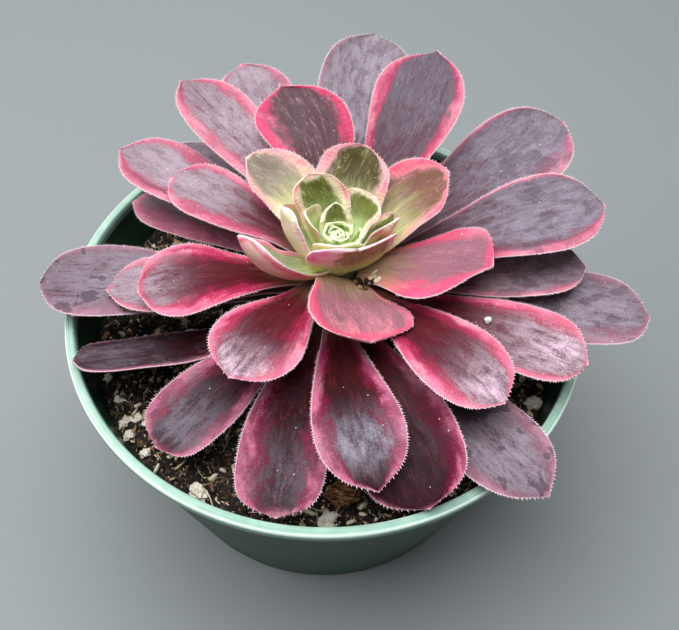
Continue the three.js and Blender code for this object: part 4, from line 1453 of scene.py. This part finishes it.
@dataclass
class Litter:
    """What lies on the leaves: a dried crumb with its stalk in an axil, and a grain of perlite.

    A lump's row holds the number of its leaf, its share of the length, its share of the half width, its size
    and its tone. The stalk's foot has the first three, and its lean is from its foot to its end.
    """

    LIFT = 0.36
    PITCH = 1100
    ROUGHNESS = 0.24

    crumb: tuple[Lump, ...] = (
        (26, 0.0, 0.45, 1.6, 0.3), (26, 0.03, 0.5, 1.7, 0.2), (26, 0.08, 0.45, 1.6, 0.5),
        (26, 0.0, 0.7, 1.6, 0.55), (26, 0.06, 0.65, 1.9, 0.25), (26, 0.12, 0.55, 1.6, 0.2),
        (26, 0.18, 0.5, 1.4, 0.6), (26, 0.02, 0.9, 1.7, 0.3), (26, 0.1, 0.85, 1.8, 0.5),
        (26, 0.05, 0.95, 1.7, 0.2), (24, 0.1, -0.95, 1.7, 0.3), (24, 0.13, -0.8, 1.6, 0.85),
        (24, 0.15, -0.95, 1.5, 0.3), (24, 0.18, -0.9, 1.6, 0.95), (24, 0.16, -0.7, 1.3, 0.8),
        (24, 0.2, -0.75, 1.4, 0.9), (26, 0.14, 0.7, 1.7, 0.25), (26, 0.2, 0.65, 1.4, 0.45),
    )
    grain: Lump = (13, 0.58, 0.2, 2.2, 1.0)
    stalk_foot: tuple[int, float, float] = (24, 0.12, -0.75)
    stalk_lean: tuple[float, float, float] = (1.4, 0.9, 3.4)
    stalk_droop: tuple[float, float, float] = (0.5, -0.2, -0.3)
    stalk_radii: tuple[float, float] = (0.16, 0.26)
    joint: float = 0.6

    def build(self, rosette: Rosette, dry: bpy.types.Material, perlite: bpy.types.Material) -> None:
        """Lays the crumb and the grain on their leaves.

        Args:
            rosette: the leaves that carry them.
            dry: the finish of the crumb.
            perlite: the finish of the grain.
        """
        Piece.publish("axil_crumb", self._lumps(rosette, self.crumb), dry, "soil")
        Piece.publish("crumb_stalk", self._stalk(rosette), dry, "soil")
        Piece.publish("leaf_grain", self._lumps(rosette, (self.grain,)), perlite, "perlite")

    def _stalk(self, rosette: Rosette) -> bmesh.types.BMesh:
        """Stands a thin dried stalk, curved over at its end, in the crumb.

        Args:
            rosette: the leaves.

        Returns:
            The stalk's mesh.
        """
        leaf, share, across = self.stalk_foot
        root = rosette.blade(leaf).point(share, across, 1)
        lean = Vector(self.stalk_lean)
        mesh = bmesh.new()
        tone = mesh.verts.layers.float.new("tone")
        foot, end = self.stalk_radii
        bmesh.ops.create_cone(mesh, cap_ends=True, segments=8, radius1=foot, radius2=end, depth=lean.length,
                              matrix=Matrix.Translation((0, 0, lean.length / 2)))
        bmesh.ops.bisect_plane(mesh, geom=mesh.verts[:] + mesh.edges[:] + mesh.faces[:],
                               plane_co=(0, 0, lean.length * self.joint), plane_no=(0, 0, 1))
        pose = Vector((0, 0, 1)).rotation_difference(lean).to_matrix()
        for vert in mesh.verts:
            droop = Vector(self.stalk_droop) * (vert.co.z / lean.length) ** 3
            vert.co = root + (pose @ vert.co + droop) * MM
            vert[tone] = 1.0
        return mesh

    @staticmethod
    def _lumps(rosette: Rosette, rows: Iterable[Lump]) -> bmesh.types.BMesh:
        """Sets lumps on the leaves, the darker ones rougher.

        Args:
            rosette: the leaves.
            rows: the lumps' rows.

        Returns:
            The lumps' mesh.
        """
        mesh = bmesh.new()
        tone = mesh.verts.layers.float.new("tone")
        for leaf, share, across, size, shade in rows:
            centre = rosette.blade(leaf).point(share, across, 1) + Vector((0, 0, size * Litter.LIFT * MM))
            made = bmesh.ops.create_icosphere(mesh, subdivisions=3, radius=size * MM / 2,
                                              matrix=Matrix.Translation(centre))
            rough = size * Litter.ROUGHNESS * (1.2 - shade * 0.6) * MM
            for vert in made["verts"]:
                vert.co += noise.noise_vector(vert.co * Litter.PITCH) * rough
                vert[tone] = shade
        return mesh


@dataclass
class Stem:
    """The short woody stem, ringed by the scars of fallen leaves."""

    steps: int = 64
    row_gap: float = 0.8
    scar_depth: float = 0.28
    scar_waves: float = 1.7

    def build(self, material: bpy.types.Material) -> None:
        """Makes the stem.

        Args:
            material: its bark.
        """
        rows = [(STEM_RADIUS - 0.6, STEM_FOOT), (STEM_RADIUS - 0.1, STEM_FOOT + 2)]
        height = STEM_FOOT + 3
        while height < STEM_TOP - self.row_gap:
            scar = self.scar_depth * (math.sin(height * self.scar_waves) - 1)
            rows.append((along(CORE_RADIUS, height) + scar, height))
            height += self.row_gap
        rows += [(STEM_TOP_RADIUS - 0.7, STEM_TOP)]
        mesh = spun(rows, self.steps, closed=True)
        bmesh.ops.translate(mesh, verts=mesh.verts, vec=(STEM_X * MM, 0, 0))
        Piece.publish("stem_bark", mesh, material, "stem", "stem")


class Finishes:
    """The finishes of everything but the leaves."""

    @staticmethod
    def plastic() -> bpy.types.Material:
        """Moulded green plastic, pale on the lip from wear and a painted highlight, with dust specks and
        faint vertical flow lines. The lip's sides carry painted shade.
        """
        s = Shader("green_plastic")
        place = s.place()
        x, y, height = s.split(place)
        reach = s.math("SQRT", s.math("MULTIPLY_ADD", x, x, s.times(y, y)))
        cloud = s.noise(place, 60.0, 3.0, 0.6)
        lines = s.noise(s.stretch(place, (900, 900, 18)), 1.0, 2.0, 0.5)
        colour = s.paint(srgb("1a3a28"), s.step(cloud, 0.35, 0.7), "244834")
        colour = s.paint(colour, s.step(lines, 0.45, 0.75, 0.0, 0.35), "305843")
        rings = s.join(s.times(reach, 2600.0), s.times(height, 1800.0), s.times(x, 14.0))
        grooves = s.noise(rings, 1.0, 3.0, 0.6)
        # The lip: pale and scratched with wear, and the pale partly a painted highlight on its top.
        lip_wear_and_highlight = s.paint(srgb("86ae9d"), s.step(s.noise(place, 110.0, 3.0, 0.6), 0.3, 0.7), "9fc3b3")
        lip_wear_and_highlight = s.paint(lip_wear_and_highlight, s.step(grooves, 0.52, 0.66, 0.0, 0.7), "cfe2d8")
        lip_wear_and_highlight = s.paint(lip_wear_and_highlight, s.step(grooves, 0.44, 0.34, 0.0, 0.5), "6d9585")
        # A painted highlight along the top of the lip's outer edge.
        crest_highlight = s.times(s.step(reach, 0.0792, 0.0795), s.step(height, 0.0862, 0.0868))
        lip_wear_and_highlight = s.paint(lip_wear_and_highlight, s.times(crest_highlight, 0.8), "e4f1ea")
        # Painted shade on the lip's sides, below its top.
        lip_wear_and_highlight = s.paint(lip_wear_and_highlight, s.step(height, 0.0861, 0.0852, 0.0, 0.6), "5f8a78")
        colour = s.mix(s.step(height, 0.0832, 0.0838), colour, lip_wear_and_highlight)
        colour = s.paint(colour, s.step(s.cells(place, 140.0), 0.07, 0.04, 0.0, 0.7), "cfc8b4")
        relief = s.bump(s.math("ADD", lines, cloud), 0.00008, 0.5)
        return s.finish(colour, s.add(0.28, cloud, 0.2), relief, Specular_IOR_Level=0.2)

    @staticmethod
    def earth() -> bpy.types.Material:
        """Dark moist potting mix."""
        s = Shader("potting_mix")
        place = s.place()
        crumbs = s.noise(place, 900.0, 4.0, 0.7)
        wide = s.noise(place, 160.0, 3.0, 0.6)
        colour = s.ramp(crumbs, (0.42, "060403"), (0.52, "2a1e16"), (0.6, "6c5440"), (0.7, "b89a78"))
        colour = s.paint(colour, s.step(wide, 0.45, 0.6, 0.0, 0.85), "070504")
        return s.finish(colour, s.add(0.6, crumbs, 0.3), s.bump(crumbs, 0.0008, 1.0))

    @staticmethod
    def chips() -> bpy.types.Material:
        """Bark chips and coir fibres, from near black to straw."""
        s = Shader("bark_and_fibre")
        fleck = s.noise(s.place(), 1400.0, 3.0, 0.6)
        mixed = s.shake(s.attribute("tone", "Fac"), fleck, 0.5)
        colour = s.ramp(mixed, (0.0, "0a0706"), (0.34, "2c1d15"), (0.5, "80603f"), (0.7, "d8b88c"),
                        (0.95, "fff6dc"))
        return s.finish(colour, 0.75, s.bump(fleck, 0.0003, 0.8))

    @staticmethod
    def perlite() -> bpy.types.Material:
        """Porous off-white perlite with a little soil in its pits, and none where the tone is 1."""
        s = Shader("perlite")
        place = s.place()
        pores = s.cells(place, 1700.0)
        soiled = s.math("SUBTRACT", 1.0, s.attribute("tone", "Fac"))
        stain = s.step(s.noise(place, 420.0, 3.0, 0.6), 0.42, 0.68, 0.0, 1.3)
        colour = s.paint(srgb("f6f2e6"), s.times(stain, soiled), "bfae8a")
        colour = s.paint(colour, s.times(s.step(pores, 0.22, 0.08), soiled), "8d7a5c")
        return s.finish(colour, 0.85, s.bump(pores, 0.0002, 0.8))

    @staticmethod
    def coir() -> bpy.types.Material:
        """A brown fibrous chip."""
        s = Shader("coir_chip")
        strands = s.noise(s.stretch(s.place(), (300, 1500, 1200)), 1.0, 4.0, 0.7)
        colour = s.ramp(strands, (0.38, "2c160c"), (0.5, "9c6238"), (0.62, "f0bc84"))
        return s.finish(colour, 0.85, s.bump(strands, 0.001, 1.0))

    @staticmethod
    def bark() -> bpy.types.Material:
        """The stem's bark: grey-brown, greener towards the leaves."""
        s = Shader("stem_bark")
        place = s.place()
        _, _, height = s.split(place)
        cork = s.noise(s.stretch(place, (700, 700, 250)), 1.0, 4.0, 0.65)
        old = s.ramp(cork, (0.3, "3a2c1f"), (0.6, "6f5b42"), (0.8, "9a8663"))
        colour = s.paint(old, s.step(height, 0.082, 0.098), "7d7a4a")
        return s.finish(colour, 0.8, s.bump(cork, 0.0006, 0.8))

    @staticmethod
    def hair() -> bpy.types.Material:
        """The pale hairs of the leaf margins."""
        s = Shader("leaf_hair")
        return s.finish(s.paint(srgb("f3cfd8"), s.noise(s.place(), 500.0), "fdf4f2"), 0.5)


@dataclass(frozen=True)
class Lamp:
    """One square soft light: where it hangs, in metres, the length of its side and its power in watts."""

    name: str
    spot: tuple[float, float, float]
    size: float
    power: float

    def hang(self, target: tuple[float, float, float]) -> None:
        """Adds the light to the scene, turned to its target."""
        data = bpy.data.lights.new(self.name, "AREA")
        data.size = self.size
        data.energy = self.power
        lamp = bpy.data.objects.new(self.name, data)
        aim = Vector(target) - Vector(self.spot)
        lamp.matrix_world = Matrix.Translation(self.spot) @ aim.to_track_quat("-Z", "Y").to_matrix().to_4x4()
        bpy.context.scene.collection.objects.link(lamp)


@dataclass
class Studio:
    """The camera at the photograph's angle, a plain pale floor and soft light."""

    width: int = 679
    focal: float = 750.0
    dip: float = 53.1
    distance: float = 229.6
    aim: tuple[float, float, float] = (4.5, -10.1, 87.0)
    tilt: float = 2.1
    sensor: float = 36.0
    lamps: tuple[Lamp, ...] = (
        Lamp("overhead", (-0.12, 0.1, 1.0), 1.0, 16.5),
        Lamp("window", (-0.9, -0.15, 0.65), 0.6, 3.0),
    )
    lit: tuple[float, float, float] = (0.0, 0.0, 0.09)
    air: Colour = (0.93, 0.96, 1.0, 1.0)
    air_strength: float = 0.19
    floor_size: float = 3.0
    floor_colour: str = "878d8f"

    def build(self) -> None:
        """Sets up the camera, the floor and the lights."""
        self._camera()
        self._floor()
        for lamp in self.lamps:
            lamp.hang(self.lit)
        world = bpy.data.worlds.new("studio_air")
        world.use_nodes = True
        background = world.node_tree.nodes["Background"]
        background.inputs["Color"].default_value = self.air
        background.inputs["Strength"].default_value = self.air_strength
        bpy.context.scene.world = world
        bpy.context.scene.view_settings.view_transform = "Standard"

    def _camera(self) -> None:
        """Places the camera by its dip, distance and tilt."""
        dip, tilt = math.radians(self.dip), math.radians(self.tilt)
        ahead = Vector((0, math.cos(dip), -math.sin(dip)))
        right = Vector((1, 0, 0))
        up = right.cross(ahead)
        across = right * math.cos(tilt) + up * math.sin(tilt)
        above = up * math.cos(tilt) - right * math.sin(tilt)
        data = bpy.data.cameras.new("view")
        data.sensor_fit = "HORIZONTAL"
        data.sensor_width = self.sensor
        data.lens = self.focal / self.width * self.sensor
        data.clip_start = 0.01
        camera = bpy.data.objects.new("view", data)
        pose = Matrix((across, above, -ahead)).transposed().to_4x4()
        pose.translation = (Vector(self.aim) - ahead * self.distance) * MM
        camera.matrix_world = pose
        bpy.context.scene.collection.objects.link(camera)
        bpy.context.scene.camera = camera

    def _floor(self) -> None:
        """Lays the floor under the pot."""
        mesh = bmesh.new()
        bmesh.ops.create_grid(mesh, x_segments=1, y_segments=1, size=self.floor_size)
        floor = placed("floor", baked("floor", mesh))
        floor.data.materials.append(Shader("pale_floor").finish(srgb(self.floor_colour), 0.8))


def main() -> None:
    """Loads the solids, dresses them and sets the scene."""
    logging.basicConfig(level=logging.INFO, format="%(message)s")
    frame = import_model()
    LOG.info("%d solids", len(frame["nodes"]))
    # Without a seed, noise_vector follows the clock.
    noise.seed_set(NOISE_SEED)
    Studio().build()
    skins = {age: age.value.build() for age in Age}
    NurseryPot().build(Finishes.plastic())
    perlite = Finishes.perlite()
    chips = Finishes.chips()
    PottingMix().build(Finishes.earth(), chips, perlite)
    for grain in PERLITE:
        grain.build(perlite, "perlite")
    BARK.build(Finishes.coir(), "bark")
    Stem().build(Finishes.bark())
    rosette = Rosette()
    rosette.build(skins, Finishes.hair())
    Litter().build(rosette, chips, perlite)
    Heart().build(skins)


if __name__ == "__main__":
    main()
